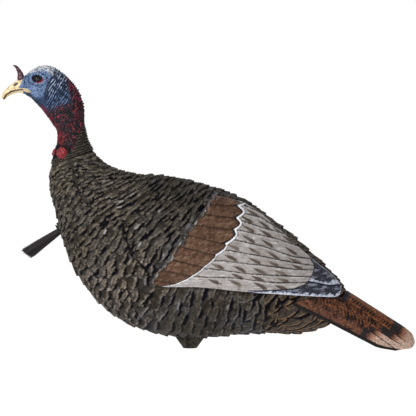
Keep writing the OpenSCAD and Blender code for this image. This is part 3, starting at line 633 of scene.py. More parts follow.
# Primaries: dark vanes with silver edges.
split = WZ - line_z(WX, PRIMARY_SPLIT)
chord = np.linalg.norm(high - low, axis=-1)
from_top, from_foot, from_tip = (1 - wing_v) * chord, wing_v * chord, (1 - wing_u) * WING_LENGTH
upper_p = split > 0
flame = 4.0 + 5.0 * mask(np.sin((WX - 196) / 7.5)) + 2.0 * n_small
silver = np.maximum.reduce([
    mask(1.3 - from_top / 2.0), mask((flame - split) / 1.2) * upper_p,
    mask((4.6 + 3.5 * n_small - from_foot) / 1.4) * ~upper_p, mask((5.5 + 4 * n_small - from_tip) / 1.4)])
prim_paint = tone(
    (26, 26, 36),
    ((85, 88, 110), mask(0.1 + 0.9 * n_small)),
    ((300, 330, 420), mask((fuzz(W3 * np.array([0.35, 1.2, 1]), 6, 2.2) - 0.1) * 4) * 0.55),
    ((330, 360, 470), silver * 0.9),
    ((640, 670, 760), silver * mask(0.35 + 0.9 * n_fine + 0.5 * n_small)),
    ((700, 710, 770), mask(1.3 - from_top / 0.9) + mask(1.2 - from_foot / 0.9) * (WX > 110)),
    ((6, 6, 9), mask(1.4 - np.abs(split) / 1.2)),
    ((8, 8, 10), mask(1.2 - past_rear / 2.2)))
prim_h = -0.9 + 0.7 * np.clip(split, -1, 1) + 0.35 * silver + 0.12 * n_small
relief = np.where(is_secondary, -0.3 + sec_h, prim_h)
relief = 0.9 * np.where(is_covert, 1.1 + covert_h + 0.4 * mask((past_bar + 3.4) / 1.0), relief)
wing_paint = np.where(is_secondary[..., None], sec_paint, prim_paint)
wing_paint = np.where(is_covert[..., None], covert_paint, wing_paint)
border = inside_border(N_WU, N_WV, 3.0) ** 0.5
outer_rise = under + 0.6 + (np.maximum(over + relief, under + 1.0) - under - 0.6) * border
wings = slab_pair("feathers_{}_wing", over_body(WX, WZ, outer_rise),
                  over_body(WX, WZ, under + 0.3 * (1 - border)), wing_paint, (0.03, 0.028, 0.027))

# ---------------- tail
# The fan is an arch: its half width and its top shrink from the root to the tip. All in its own frame.
TAIL_T, FAN_LENGTH, FAN_EDGE, TAIL_INSIDE = 4.5, 150.0, -32.0, (0.028, 0.022, 0.02)
FAN_HALF_W, FAN_TIP_HALF_W, FAN_TOP, FAN_TIP_TOP, EDGE_RISES_AT = 41.0, 24, 31, 19, 88
# Lines between the vanes, from the top down.
VANE_LINES = [[(-80, 26), (0, 16), (17, 13.5), (44, 9.9), (76, 6.0), (101, 4.2), (147, -2)],
              [(-80, 9), (-9, 5.7), (23, 3.5), (49, 0.6), (74, -4.2), (110, -8)],
              [(-80, -6), (9, -9.9), (43, -10.3), (80, -14), (125, -20)]]


def tail_point(s, y, h):
    """Point of the tail's own frame: s along it, y across the bird, h above its middle."""
    return np.stack([TAIL_AT[0] + s * math.cos(TAIL_DROP) + h * math.sin(TAIL_DROP), y,
                     TAIL_AT[1] + h * math.cos(TAIL_DROP) - s * math.sin(TAIL_DROP)], -1)


def fan_half_width(s):
    return FAN_HALF_W + (FAN_TIP_HALF_W - FAN_HALF_W) * s / FAN_LENGTH + TAIL_T


def fan_top(s):
    return FAN_TOP + (FAN_TIP_TOP - FAN_TOP) * s / FAN_LENGTH


def fan_edge(s):
    """Height of the fan's lower edge, which rises towards the tip."""
    return FAN_EDGE + 14 * np.sin(np.pi / 2 * mask((s - EDGE_RISES_AT) / (FAN_LENGTH - EDGE_RISES_AT))) ** 1.5


def tail_paint(s, h):
    """Colour and relief of the tail's vanes at places of its own frame."""
    k, f, _, low_gap = between(s, h, VANE_LINES)
    q = np.stack([s, h * 1.3, np.zeros_like(s)], -1)
    a, b, c = fuzz(q, 3.2, 2.0), fuzz(q, 14, 4.0), fuzz(q * np.array([0.5, 1.6, 1]), 2.4, 6.0)
    slanted = s + h * np.array([-0.55, 0.75, 0.75, 0.4])[k]
    bars = np.sin(slanted * 2 * np.pi / np.where(k == 0, 6.2, 7.2) + 1.6 * b)
    first, last = np.array([0.12, 0.0, 0.08, 0.0])[k], np.array([0.7, 0.75, 0.95, 0.4])[k]
    bars = mask((bars + 0.52 + 1.1 * a) * 3.5) * mask((f - first) * 8) * mask((last - f) * 8)
    smudge = mask((b + 0.7 * a - 0.22 - 0.006 * np.maximum(s, 0)) * 5) * 0.9
    bars = np.maximum(bars * np.clip(0.85 + 1.4 * b, 0.1, 1), smudge)
    start = np.array([96, 82, 62, 52])[k] + 5 * a
    end = np.array([119, 108, 76, 68])[k] + 6 * a
    band = mask((s - start) / 3) * mask((end - s) / 3)
    tip = mask((s - end) / 9)
    edge = mask(1.6 - (low_gap + 0.8 * a) / 1.3) * (k < 3) * mask((142 - s) / 20)
    col = tone((100, 38, 20),
               ((330, 115, 45), mask(0.3 + 1.3 * a) * np.where(k < 3, 0.95, 0.5)),
               ((215, 100, 66), (k == 3) * mask(0.4 + 1.5 * a) * 0.8),
               ((30, 14, 10), mask(0.32 - 1.6 * c - 0.3 * a) * 0.75),
               ((4, 4, 5), bars * (1 - tip)),
               ((16, 14, 16), band * 0.95),
               ((330, 165, 115), tip * 0.9),
               ((540, 430, 350), mask((s - end - 7) / 12) * mask(0.55 + c)),
               ((160, 70, 50), tip * mask(-0.15 - c + 0.4 * a) * 1.5),
               ((10, 8, 8), edge),
               ((14, 14, 20), mask((h - 14 + 2 * a) / 3) * mask((7 + 3 * a - np.abs(s)) / 4)),
               ((12, 10, 10), mask(fan_edge(s) + 6.5 - 0.05 * np.maximum(s - 90, 0) - h)))
    return col, 0.5 * f - 0.7 * edge + 0.16 * a + 0.1 * np.sin(s * 2.6 + h * 3.0) - 0.25 * bars


def fan_layer(along, across, inset):
    """Places in the tail's frame of the fan's surface, or of one that lies inset inside it."""
    angle = np.radians(90 - 180 * across)
    c = np.cos(angle)
    reach = FAN_LENGTH - 26 * np.maximum(0, 1 - c / 0.62) ** 2 - 10 * (np.maximum(0, c - 0.7) / 0.3) ** 2
    s = -0.4 + along * (reach + 0.7)
    low = fan_edge(s)
    top = fan_top(s) - 5 * (np.maximum(0, s / FAN_LENGTH - 0.75) / 0.25) ** 2
    return s, (fan_half_width(s) - inset) * np.sin(angle), low + (top - low - inset) * c


N_TS, N_TA = 190, 230
fan_grid = grid(N_TS, N_TA)
ts, ty, th = fan_layer(*fan_grid, 0)
tail_col, tail_rise = tail_paint(ts, th)
fan = Skin(tail_point(ts, ty, th), False, axis=2)
fan.H = 0.35 + (tail_rise + 0.2) * inside_border(N_TS, N_TA, 2.0)
fan_inside = tail_point(*fan_layer(*fan_grid, TAIL_T))
tail_ob = slab("feathers_tail", fan.points(), fan_inside, tail_col, TAIL_INSIDE, True)

# Side flaps of the tail reach forward over the rump.
FLAP_FRONT, FLAP_REACH, FLAP_T, N_FS, N_FH = -80, 102, 2.9, 150, 90
along, up = grid(N_FS, N_FH)
fl_s = FLAP_FRONT + FLAP_REACH * along
fl_h = FAN_EDGE + (np.interp(fl_s, FLAP_S, FLAP_H) - FAN_EDGE) * up
foot = tail_point(np.minimum(fl_s, -0.5), np.zeros_like(fl_s), np.maximum(fl_h, -12.0))
over_rump = over_body(foot[..., 0], foot[..., 2], np.zeros_like(fl_s))[..., 1] + 2.2
fan_s = np.maximum(fl_s, 0)
arch = 1 - ((fl_h - FAN_EDGE) / (fan_top(fan_s) - FAN_EDGE)) ** 2
# The flap swells to the fan's side before the joint where the fan is wider, and sinks to it behind the joint.
fl_step = fan_half_width(fan_s) * np.sqrt(np.maximum(arch, 0)) - FLAP_T - over_rump
fl_y = over_rump + np.maximum(fl_step * ease((fl_s + 30) / 29), fl_step * ease((fl_s - 7) / 15))
# It also swells over the end of the bar behind the tongue.
fl_y += 1.7 * np.exp(-((fl_s - 4) / 8) ** 2 - ((fl_h - 2) / 11) ** 2)
fl_col, fl_rise = tail_paint(fl_s, fl_h)
fl_out = fl_y + FLAP_T + (0.45 + fl_rise) * inside_border(N_FS, N_FH, 2.0)
flaps = slab_pair("feathers_flap_{}", tail_point(fl_s, fl_out, fl_h), tail_point(fl_s, fl_y, fl_h), fl_col,
                  TAIL_INSIDE, True)

# ---------------- head
N_HU, N_HT, HEAD_INSET = 400, 230, 1.5
NECK_TOP, NECK_AXIS = np.array([-172, 0, 358]), np.array([-0.318, 0, 0.948])
EYE = np.array([-273.0, 485.5])
# Side-view lines of the head: the ear's rear edge, the gape, the throat, the jaw and the feathers' front.
EAR = [(-245.6, 489.6), (-252, 480), (-256, 470), (-259, 460), (-257, 448)]
GAPE = [(-304, 465.6), (-296, 466.0), (-289, 464.0), (-283.2, 461.0)]
THROAT = [(-266, 434), (-248, 413), (-240, 400), (-238, 385), (-241, 372)]
JAW = [(-290, 458), (-277, 447), (-262, 430), (-248, 413)]
PLUMED = [(-172, 418), (-184, 405), (-197, 395), (-203, 378), (-206, 366), (-216, 352), (-222, 340)]
head_u, head_len = even_rows(HEAD, 0.0, HEAD_INSET, N_HU)
head, HU, HT = loft_skin(HEAD, 0.0, HEAD_INSET, head_u, N_HT)
hx, hy, hz = np.moveaxis(head.P, -1, 0)
flat_side = np.stack([hx, hz, np.abs(hy)], -1)
face = mask((hz - (452 + 0.55 * (hx + 262))) / 9)
crown = mask((hz - np.where(hx > -262, 499 - 0.55 * (hx + 262), 499 - 0.25 * (-262 - hx))) / 7)
behind = mask((hx - line_x(np.clip(hz, 430, 492), EAR)) / 3) * mask((hz - 418 - 0.2 * (hx + 240)) / 10)
ear_d = polyline_distance(hx, hz, EAR)
v1, v2 = cells(head.P, 3.4, 11.0), cells(head.P, 5.6, 23.0)
wart1, wart2 = mask(1 - v1[0] * 1.25), mask(1 - v2[0] * 1.2)
crease1, crease2 = mask(1 - (v1[1] - v1[0]) * 5), mask(1 - (v2[1] - v2[0]) * 4)
h_small, h_big, h_fine = fuzz(head.P, 4, 2.5), fuzz(head.P, 22, 9.1), fuzz(head.P, 1.6, 4.4)
# Bristly streaks behind the ear run down and forward.
streak_x = (hx * 0.84 - hz * 0.5) / 3.9
bristle = np.sin(streak_x * 2 * np.pi + 3.2 * fuzz(flat_side * np.array([1, 0.5, 1]), 12, 8.8)) * 0.5 + 0.5
bristle *= np.clip(0.7 + 1.7 * fuzz(flat_side * np.array([1, 0.7, 1]), 4.5, 3.3), 0, 1.2)
nape = mask((hx - (-212 - 0.28 * (hz - 440))) / 6) * mask((hz - 400) / 15)
neck_zone = mask((440 - hz + 0.35 * (hx + 240)) / 16)
eye_r = np.hypot((hx - EYE[0]) / np.where(hx < EYE[0], 9.2, 9.8), (hz - EYE[1] - 0.1 * (EYE[0] - hx)) / 6.6)
H = 0.5 * wart1 * (0.3 + 0.7 * face) - 0.35 * crease1 + 0.4 * h_big
H += behind * (1.9 * bristle - 0.9)
H += neck_zone * (0.9 * wart2 + 0.6 * wart1 - 0.5 * crease2)
H -= 1.1 * bell(ear_d / 1.5)
# Lids and the hollow round the eye.
H += 1.3 * bell((eye_r - 0.98) / 0.16) - 1.2 * mask(1 - eye_r) + 0.6 * bell((eye_r - 1.4) / 0.2)
H -= 0.9 * bell((eye_r - 1.85) / 0.12)
gape_d = polyline_distance(hx, hz, GAPE)
gape_w = 2.9 * np.clip((-281.0 - hx) / 9, 0.25, 1)
lips = mask((gape_w - gape_d) / 0.7)
H += 0.9 * lips - 0.7 * bell(gape_d / 0.6)
throat_d = polyline_distance(hx, hz, THROAT)
throat = mask(1.5 - throat_d / 4.2) * mask((460 - hz) / 15)
seam_d = (head.P - NECK_TOP) @ NECK_AXIS
# Small feathers cover the back of the neck's foot.
plumed = mask((hx - line_x(np.clip(hz, 340, 418), PLUMED)) / 4) * (hz < 424)
plumed = np.maximum(plumed, mask((9 - seam_d) / 3))
head_s = np.interp(HU, head_u, np.linspace(0, head_len, N_HU))
jitter = 2.2 * fuzz(head.P, 9, 6.0)
row = (head_s + 0.9 * jitter) / 4.8
lane = (HT / 360 * 150 + jitter * 1.5) / 9.5 + 0.5 * (np.floor(row) % 2)
scale_h = (1 - row % 1) * 1.6 - 0.8 + 0.35 * np.cos((lane % 1 - 0.5) * np.pi)
scale_gap = mask(1.3 - (1 - row % 1) * 3.6) + mask(1 - (0.5 - np.abs(lane % 1 - 0.5)) * 14) * 0.6
H = H * (1 - plumed) + plumed * (scale_h - 0.6 * scale_gap + 0.5)
head.H = np.clip(H, -1.8, 2.2) * mask(np.arange(N_HU) / 3.0)[:, None]
speck = mask((wart1 - 0.42) * 3.0) * neck_zone * mask(0.35 + 1.9 * fuzz(head.P, 8, 1.9))
ear_top = mask((hz - 452 - 0.3 * (hx + 240)) / 22)
ridge = mask((bristle - 0.5) * 3.2)
# Painted shade along the edge of the jaw and the throat.
jaw_shade = mask(1.5 - polyline_distance(hx, hz, JAW) / 4.0)
head_paint = tone(
    (70, 120, 235),
    ((190, 265, 430), mask(0.05 + 1.2 * wart1 + 0.6 * h_small) * face),
    ((28, 46, 95), mask(0.1 - h_big) * 0.8 + (1 - face) * 0.8),
    # Painted shade in the face's creases, under the jaw and in the groove round the eye.
    ((12, 18, 40), crease1 * 0.85 + 0.8 * jaw_shade + bell((eye_r - 1.85) / 0.16) * 0.6),
    ((250, 285, 340), crown * 0.95),
    ((640, 650, 670), crown * mask(wart1 * 2.2 - 0.35 + 0.5 * h_small)),
    # Painted shade in the crown's creases.
    ((30, 32, 42), crown * mask(crease1 * 1.4 - 0.2) * 0.9),
    ((26, 42, 85), behind * 0.85),
    ((100, 150, 275), behind * ridge * (1 - nape) * 0.95),
    ((340, 390, 480), behind * mask((bristle - 0.66) * 3.5) * (1 - 0.85 * nape) * (0.1 + 0.85 * ear_top)),
    ((6, 8, 14), behind * mask((0.22 - bristle) * 6) * 0.85),
    ((14, 12, 15), np.maximum(nape * 0.9, neck_zone * 0.97)),
    ((45, 48, 58), mask(wart2 * 1.4 - 0.5) * neck_zone * 0.8),
    ((230, 30, 55), mask((bristle - 0.52) * 3.0) * nape * mask((494 - hz) / 8) * 0.9),
    ((110, 22, 30), neck_zone * mask(0.1 + 1.4 * h_small) * 0.8),
    ((105, 125, 165), neck_zone * mask((h_fine - 0.35) * 3) * 0.6),
    ((340, 20, 32), speck),
    ((500, 120, 130), speck * mask(h_fine * 2) * 0.6),
    ((150, 10, 22), throat * 0.85 * mask(0.6 + 0.8 * h_small)),
    ((280, 22, 28), mask(1.4 - np.hypot((hx + 232) / 8, (hz - 379) / 11)) * mask(0.3 + wart2)),
    # Painted shadow round the caruncles, low at the front of the neck.
    ((6, 5, 6), mask((371 - hz) / 6) * mask((-210 - hx) / 5) * 0.97),
    # Painted shade in the neck's creases and in the groove along the ear's rear edge.
    ((4, 4, 5), neck_zone * np.maximum(crease2, 0.9 * crease1) * 0.92),
    ((8, 9, 16), bell(ear_d / 1.7) * 0.95),
    ((5, 5, 8), mask(1.16 - eye_r) * 6),
    ((330, 16, 20), bell((eye_r - 1.0) / 0.11) * (hz < EYE[1] - 0.5) * (hx > EYE[0] - 3)),
    ((34, 28, 22), plumed),
    ((110, 92, 68), plumed * mask(1.5 * h_small + 0.2) * mask(row % 1)),
    # Painted shadow in the gaps between the small neck feathers.
    ((3, 3, 4), plumed * mask(scale_gap * 1.4)),
    ((640, 500, 270), lips),
    ((16, 12, 10), mask(1.4 - gape_d / 0.55) * (gape_w > 0.8)))
# The rows start inside the neck's foot, turn its edge, follow the skin and close behind the bill.
ring = head.points()
lift = 0.6 * NECK_AXIS
ring[0] += lift
inner = [cut_point(HEAD, 0.0, np.full(N_HT, u), HT[0], 6.2) for u in (1.6, 0.8, 0.0)]
inner[-1] += lift
rows = np.stack(inner + list(ring) + [shrunk(ring[-1], 0.6), shrunk(ring[-1], 0.2)])
dark_rows = np.full((len(inner), N_HT, 3), 0.02)
paint_rows = np.concatenate([dark_rows, head_paint, head_paint[-1:], head_paint[-1:]])
head_ob = mesh_object("head_skin", rows, grid_quads(len(rows), N_HT, True, True), paint_rows)

# ---------------- bill
BILL = np.array([
    [-294, 493, -299.5, 457.8, 11.6], [-297.5, 488.5, -300, 458.8, 10.2], [-303, 485.5, -303.5, 460, 8.6],
    [-311, 482, -309, 459.8, 7.4], [-321, 475.5, -317, 458, 6.3], [-330, 467.5, -323.5, 455.2, 5],
    [-336.2, 459, -329, 451.6, 3.6], [-338.5, 451, -333, 447.6, 1.6]])
N_BU, N_BT = 150, 120
bill, _, _ = loft_skin(BILL, 0.0, 0.3, even_rows(BILL, 0.0, 0.0, N_BU)[0], N_BT)
bx, bz = bill.P[..., 0], bill.P[..., 2]
MOUTH = [(-334, 449.5), (-329.5, 456.5), (-320, 462.8), (-309, 465.2), (-298, 466.2), (-288, 464.2)]
mouth_d = polyline_distance(bx, bz, MOUTH)
nx, nz = bx + 312.3, bz - 475.6
nostril = np.hypot((nx * 0.8 + nz * 0.6) / 4.6, (nx * -0.6 + nz * 0.8) / 2.1)
b_small = fuzz(bill.P, 4, 1.0)
bill.H = (-1.5 * bell(mouth_d / 0.75) + 0.6 * bell((mouth_d - 2.0) / 1.1)
          - 1.3 * mask(1.3 - nostril) + 0.5 * bell((nostril - 1.5) / 0.25) + 0.15 * b_small)
bill.H *= mask((N_BU - 1 - np.arange(N_BU)) / 5.0)[:, None]
# The horn ends behind the nostril in a slanting edge; the flesh of the face reaches down to it.
flesh = mask((bx - (-306.9 + (bz - 469) * 0.48) + 0.5) / 1.2) * mask((bz - 468) / 1.5)
bill.H += 0.8 * flesh
bill_paint = tone(
    (560, 430, 225),
    ((760, 640, 420), mask((mouth_d - 1.5) / 6) * mask(0.5 + b_small)),
    ((330, 215, 90), mask(-0.1 - b_small) * 0.8 + mask((-327 - bx) / 12) * 0.2),
    ((420, 270, 110), mask((bz - 479) / 8) * 0.5),
    ((75, 125, 230), flesh),
    ((18, 13, 10), mask(1.9 - mouth_d / 0.95)),
    ((12, 10, 10), mask(1.35 - nostril) * 1.6))
ring = bill.points()
bill_ob = mesh_object("bill", np.concatenate([ring, shrunk(ring[-1], 0.25)[None]]),
                      grid_quads(N_BU + 1, N_BT, True, True), np.concatenate([bill_paint, bill_paint[-1:]]))


# ---------------- snood, caruncles and eyes
def snood(name, path, radii, n_along, n_round):
    """Wrinkled tapering tube along a path of points, narrower across the bird."""
    path, radii = np.array(path, float), np.array(radii, float)[:, None]
    place = np.linspace(0, len(path) - 1, n_along)
    mid, r = spline(path, place)[:, None], spline(radii, place)[..., None]
    d = unit(np.gradient(mid, axis=0))
    side = unit(np.cross(d, np.array([0, 1.0, 0])))
    f, ang = around(place / place[-1], n_round)
    P = mid + (side * np.cos(ang)[..., None] + np.cross(d, side) * np.sin(ang)[..., None] * 0.66) * r
    wrinkles = 0.35 * np.sin(f * 34 + 1.5 * np.sin(ang)) * (1 - f) + 0.35 * fuzz(P, 2.6, 3.0)
    P = P + unit(P - mid) * wrinkles[..., None]
    P = np.concatenate([shrunk(P[0], 0.02)[None], P, shrunk(P[-1], 0.02)[None]])
    a, b = fuzz(P, 2.4, 5.0), fuzz(P, 6, 8.0)
    col = tone((40, 14, 20), ((150, 45, 60), mask(0.1 + a + 0.3 * b)),
               ((10, 8, 12), mask(-0.1 - a) * 0.9),
               ((30, 35, 55), mask((P[..., 0] + 303) / 5) * mask((494 - P[..., 2]) / 6)))
    return mesh_object(name, P, grid_quads(len(P), n_round, True, False), col)


SNOOD_PATH = [(-299, 0, 477), (-302.5, 0, 486), (-304.5, 0, 494), (-308, 0, 502), (-312.5, 0, 507.5),
              (-317, 0, 509.2)]
snood_ob = snood("snood", SNOOD_PATH, [8.2, 7.2, 5.0, 3.4, 2.2, 1.1], 90, 48)


def lobe(name, centre, size, seed):
    """Rounded fleshy lobe with bumps and creases."""
    n_r, n_t = 80, 110
    th, ph = around(np.linspace(0.02, math.pi - 0.02, n_r), n_t)
    d = np.stack([np.sin(th) * np.cos(ph), np.sin(th) * np.sin(ph), np.cos(th)], -1)
    P = np.array(centre) + d * np.array(size) * (1 - 0.12 * mask(d[..., 2:]))
    first, second = cells(P, 4.4, seed)
    bump, crease, n = mask(1 - first * 1.2), mask(1 - (second - first) * 4), fuzz(P, 3, seed)
    P = P + d * (0.9 * bump - 0.5 * crease + 0.3 * n)[..., None]
    col = tone((190, 10, 17), ((340, 24, 34), bump * 0.8 + 0.3 * n),
               # Pale pink on the bump tops is a painted highlight; the dark red in the creases is painted
               # shade.
               ((520, 140, 150), mask(bump * 2.0 - 1.2) * 0.5),
               ((60, 4, 8), crease * 0.8),
               ((100, 8, 14), mask(-n - 0.2)))
    return mesh_object(name, P, grid_quads(n_r, n_t, True), col)


def eye(name, side):
    """Glossy dome with a slight swelling for the pupil, on the side of sign side."""
    n_r, n_t = 40, 64
    a, ph = around(np.linspace(0, 1, n_r), n_t)
    r = 6.2 * np.sin(a * np.pi / 2)
    out = 12.1 + 5.8 * np.cos(a * np.pi / 2) + 0.7 * bell(r / 2.6)
    P = np.stack([EYE[0] + r * np.cos(ph), out * side, EYE[1] + r * np.sin(ph)], -1)
    col = tone((6, 4, 4), ((20, 8, 4), mask((r - 3.4) / 0.8) * mask((6.0 - r) / 0.6)),
               ((4, 4, 4), mask((3.4 - r) / 0.5)))
    return mesh_object(name, P, grid_quads(n_r, n_t, True, side < 0), col)


lobes = [lobe("caruncle_front", (-240.8, 0, 352.0), (7.0, 7.5, 9.5), 2.0)]
for side, word in ((1, "right"), (-1, "left")):
    lobes.append(lobe("caruncle_" + word, (-227.0, side * 19.0, 353.4), (12.0, 8.4, 12.4), 5.0 + side))
eyes = {"left_eye": eye("eye_left", -1), "right_eye": eye("eye_right", 1)}

# ---------------- beard
BEARD_ROOT, BEARD_SLOPE, BEARD_LENGTH = np.array([-234.0, 0.0, 212.0]), math.radians(34.5), 78.0
BEARD_DIR = np.array([-math.cos(BEARD_SLOPE), 0.0, -math.sin(BEARD_SLOPE)])
BEARD_UP = np.array([BEARD_DIR[2], 0.0, -BEARD_DIR[0]])
BRISTLES, STEPS, CORNERS = 620, 7, 3
DARK_BRISTLE, BRISTLE_SHEEN = np.array([0.016, 0.013, 0.014]), np.array([0.05, 0.042, 0.045])


def bristle_points():
    """One bristle from the root to its end: rows of three corners, and the colour of each row."""
    a, q = rng.uniform(0, 2 * math.pi), math.sqrt(rng.random())
    across_up, across_side = q * math.cos(a), q * math.sin(a)
    end = BEARD_LENGTH * rng.uniform(0.93, 1.03) - 7.0 * (1 - across_up) * 0.5 - 4 * rng.random()
    root_r = rng.uniform(0.42, 0.7)
    wave, phase = rng.uniform(0.2, 0.7), rng.uniform(0, 6.28)
    shade = rng.random()
    points, colours = [], []
    for f in np.linspace(0, 1, STEPS):
        # The bundle fans out from the ferrule, and is flat across the bird.
        high, wide = 5.6 + (11.4 - 5.6) * f, 4.4 + (6.2 - 4.4) * f
        up = across_up * high + wave * math.sin(3 * f + phase) * f
        y = across_side * wide + wave * math.cos(2.4 * f + phase) * f
        mid = BEARD_ROOT + BEARD_DIR * f * end + BEARD_UP * up + np.array([0, y, 0])
        r = root_r * (1 - 0.55 * f)
        for g in 2 * math.pi * np.arange(CORNERS) / CORNERS + phase:
            points.append(mid + BEARD_UP * r * math.cos(g) + np.array([0, r * math.sin(g), 0]))
            colours.append(DARK_BRISTLE + BRISTLE_SHEEN * shade * (0.4 + 0.6 * f))
    return points, colours


one = grid_quads(STEPS, CORNERS, True)
points, colours = zip(*(bristle_points() for _ in range(BRISTLES)))
beard_ob = mesh_object("beard_bristles", np.array(points), np.concatenate(
    [one + k * STEPS * CORNERS for k in range(BRISTLES)]), np.array(colours))


# ---------------- materials
class Nodes:
    """A material's node tree, in short words."""

    def __init__(self, name):
        self.mat = bpy.data.materials.new(name)
        self.mat.use_nodes = True
        self.tree = self.mat.node_tree
        self.bsdf = self.tree.nodes["Principled BSDF"]

    def put(self, socket, val):
        if isinstance(val, bpy.types.NodeSocket):
            self.tree.links.new(val, socket)
        else:
            socket.default_value = val

    def new(self, kind, *values, **named):
        """New node of a kind; values are put on its inputs in order, and named ones by their names."""
        node = self.tree.nodes.new("ShaderNode" + kind)
        for key, val in [*enumerate(values), *named.items()]:
            self.put(node.inputs[key], val)
        return node

    def noise(self, scale, detail=3.0, rough=0.6):
        place = self.new("TexCoord").outputs["Object"]
        return self.new("TexNoise", Vector=place, Scale=scale, Detail=detail, Roughness=rough).outputs["Fac"]

    def paint(self):
        node = self.new("Attribute")
        node.attribute_name = "paint"
        return node.outputs["Color"]

    def span(self, x, lo, hi, a, b):
        return self.new("MapRange", x, lo, hi, a, b).outputs[0]

    def mix(self, fac, a, b, kind="MIX"):
        node = self.new("Mix")
        node.data_type, node.blend_type = "RGBA", kind
        for key, val in ((0, fac), (6, a), (7, b)):
            self.put(node.inputs[key], val)
        return node.outputs[2]

    def bump(self, height, strength, distance):
        node = self.new("Bump", Height=height, Strength=strength, Distance=distance)
        self.put(self.bsdf.inputs["Normal"], node.outputs["Normal"])

    def set(self, **vals):
        for key, val in vals.items():
            self.put(self.bsdf.inputs[key.replace("_", " ")], val)


def painted(name, roughness, specular, grain, grain_size, bump_size, bump_strength):
    """Paint from the mesh, worn lighter and darker by two noises, over a fine grain."""
    m = Nodes(name)
    fine, coarse = m.noise(grain_size, 5.0, 0.7), m.noise(grain_size * 0.12, 3.0)
    gain = m.new("Math", m.span(fine, 0.3, 0.7, 1 - grain, 1 + grain), m.span(coarse, 0.3, 0.7, 0.88, 1.12))
    gain.operation = "MULTIPLY"
    grey = m.new("CombineColor", *[gain.outputs[0]] * 3).outputs[0]
    m.set(Base_Color=m.mix(1.0, m.paint(), grey, "MULTIPLY"), Specular_IOR_Level=specular)
    m.set(Roughness=m.span(coarse, 0.3, 0.7, roughness - 0.08, roughness + 0.08))
    m.bump(m.noise(bump_size, 4.0, 0.65), bump_strength, 0.0006)
    return m.mat


def plain(name, colour, roughness, metallic, scale, wear, specular=0.3):
    """Moulded plastic, rubber or metal with a slight procedural grain and wear."""
    m = Nodes(name)
    worn = (*[min(1.0, v * (1 + wear) + 0.01) for v in colour], 1.0)
    n = m.noise(scale, 5.0)
    m.set(Base_Color=m.mix(m.span(n, 0.4, 0.65, 0.0, 1.0), (*colour, 1.0), worn), Metallic=metallic,
          Specular_IOR_Level=specular)
    m.set(Roughness=m.span(n, 0.3, 0.7, roughness - 0.07, roughness + 0.07))
    m.bump(m.noise(scale * 6, 3.0), 0.15, 0.0004)
    return m.mat


def eye_gloss():
    """Very glossy paint with a faint brown mottle."""
    m = Nodes("eye_gloss")
    mottle = m.span(m.noise(300.0), 0.4, 0.7, 0.0, 0.5)
    m.set(Base_Color=m.mix(mottle, m.paint(), (0.01, 0.004, 0.003, 1.0)))
    m.set(Roughness=0.04, Specular_IOR_Level=0.5)
    return m.mat


M_PLUME = painted("feather_paint", 0.72, 0.05, 0.28, 900.0, 1400.0, 0.35)
M_WING = painted("wing_paint", 0.66, 0.08, 0.16, 900.0, 1300.0, 0.3)
M_TAIL = painted("tail_paint", 0.62, 0.1, 0.22, 800.0, 1200.0, 0.3)
M_HEAD = painted("head_paint", 0.6, 0.1, 0.22, 1100.0, 1500.0, 0.3)
M_FLESH = painted("wattle_paint", 0.4, 0.3, 0.12, 900.0, 1400.0, 0.25)
M_BILL = painted("bill_paint", 0.38, 0.45, 0.1, 700.0, 1200.0, 0.15)
M_BRISTLE = painted("bristle", 0.5, 0.15, 0.3, 1500.0, 2000.0, 0.15)
M_SHELL = plain("dark_shell_plastic", (0.014, 0.012, 0.009), 0.7, 0.0, 130.0, 2.0, 0.05)
M_NYLON = plain("black_nylon", (0.016, 0.016, 0.017), 0.48, 0.0, 90.0, 0.6)
M_RUBBER = plain("black_rubber", (0.012, 0.012, 0.012), 0.8, 0.0, 120.0, 0.4)
M_ZINC = plain("zinc_steel", (0.5, 0.51, 0.53), 0.34, 1.0, 150.0, 0.2)
M_EYE = eye_gloss()


def dress(ob, material):
    ob.data.materials.clear()
    ob.data.materials.append(material)


def finish_piece(ob, material, body_name, nodes=()):
    """Gives a visible piece its material and the body it rides on, and hides the CAD nodes it stands for."""
    dress(ob, material)
    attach(ob, body_name)
    if nodes:
        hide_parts(*nodes)


for ob in plumage:
    finish_piece(ob, M_PLUME, "body")
for side, ob in wings.items():
    finish_piece(ob, M_WING, side + "_wing", [side + "_wing"])
for ob in (tail_ob, *flaps.values()):
    finish_piece(ob, M_TAIL, "tail")
finish_piece(head_ob, M_HEAD, "head", ["head_shell"])
finish_piece(bill_ob, M_BILL, "head")
for ob in (snood_ob, *lobes):
    finish_piece(ob, M_FLESH, "head")
for word, ob in eyes.items():
    finish_piece(ob, M_EYE, "head", [word])
finish_piece(beard_ob, M_BRISTLE, "beard", ["beard"])

CAD_LOOKS = {
    M_SHELL: ("left_shell", "right_shell", "tail_fan"),
    M_NYLON: ("stake_socket", "neck_socket", "left_wing_stud", "right_wing_stud", "tail_socket", "neck_plug",
              "head_bush", "left_wing_cup", "right_wing_cup", "beard_ferrule"),
    M_ZINC: ("socket_screws", "wing_stud_nuts", "head_washer", "head_screw"),
    M_RUBBER: ("beard_grommet", "plug_o_ring", "tail_friction_pad")}
for material, names in CAD_LOOKS.items():
    for name in names:
        dress(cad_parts[name], material)

# ---------------- floor, light and camera, in metres
CENTRE, VIEW_WIDTH = Vector((0.0324, 0.0, 0.2529)), 0.7488
CAMERA_DISTANCE, CAMERA_RISE, SENSOR = 5.0, math.radians(4.0), 36.0
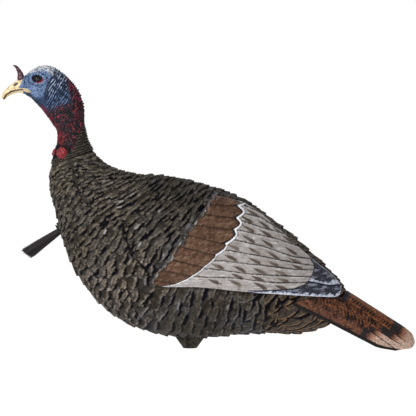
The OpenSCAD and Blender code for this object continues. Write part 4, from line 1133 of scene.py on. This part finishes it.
# The floor lies far down, so that it shows as an even pale ground all round the bird.
FLOOR_Z, FLOOR_SIZE = -1.6, 60


def pale_floor():
    m = Nodes("pale_floor")
    m.set(Base_Color=(0.9, 0.9, 0.9, 1), Roughness=0.9, Emission_Color=(1, 1, 1, 1), Emission_Strength=0.76)
    return m.mat


def studio_world():
    """White surroundings that light the bird softly and show at full strength to the camera."""
    world = bpy.data.worlds.new("studio")
    world.use_nodes = True
    tree = world.node_tree
    back = tree.nodes["Background"]
    back.inputs["Color"].default_value = (1, 1, 1, 1)
    path = tree.nodes.new("ShaderNodeLightPath")
    strength = tree.nodes.new("ShaderNodeMapRange")
    strength.inputs[3].default_value, strength.inputs[4].default_value = 0.3, 1.0
    tree.links.new(path.outputs["Is Camera Ray"], strength.inputs[0])
    tree.links.new(strength.outputs[0], back.inputs["Strength"])
    return world


def add(name, data, place):
    """Object at a place that looks at the bird's centre."""
    ob = bpy.data.objects.new(name, data)
    bpy.context.scene.collection.objects.link(ob)
    ob.location = place
    ob.rotation_euler = (Vector(place) - CENTRE).to_track_quat("Z", "Y").to_euler()
    return ob


def area_light(name, place, size, power):
    light = bpy.data.lights.new(name, "AREA")
    light.energy, light.size = power, size
    return add(name, light, place)


bpy.ops.mesh.primitive_plane_add(size=FLOOR_SIZE, location=(0, 0, FLOOR_Z))
floor = bpy.context.object
floor.name = "floor"
floor.data.materials.append(pale_floor())
bpy.context.scene.world = studio_world()
lights = [area_light("key", (-1.6, -1.9, 1.9), 0.9, 78), area_light("fill", (1.8, -2.4, 0.6), 2.5, 12),
          area_light("rim", (0.6, 1.8, 1.8), 1.4, 22)]
cam = bpy.data.cameras.new("camera")
cam.sensor_width, cam.lens = SENSOR, SENSOR * CAMERA_DISTANCE / VIEW_WIDTH
view_line = Vector((0, -math.cos(CAMERA_RISE), math.sin(CAMERA_RISE)))
bpy.context.scene.camera = add("camera", cam, CENTRE + CAMERA_DISTANCE * view_line)
bpy.context.scene.view_settings.view_transform = "Standard"
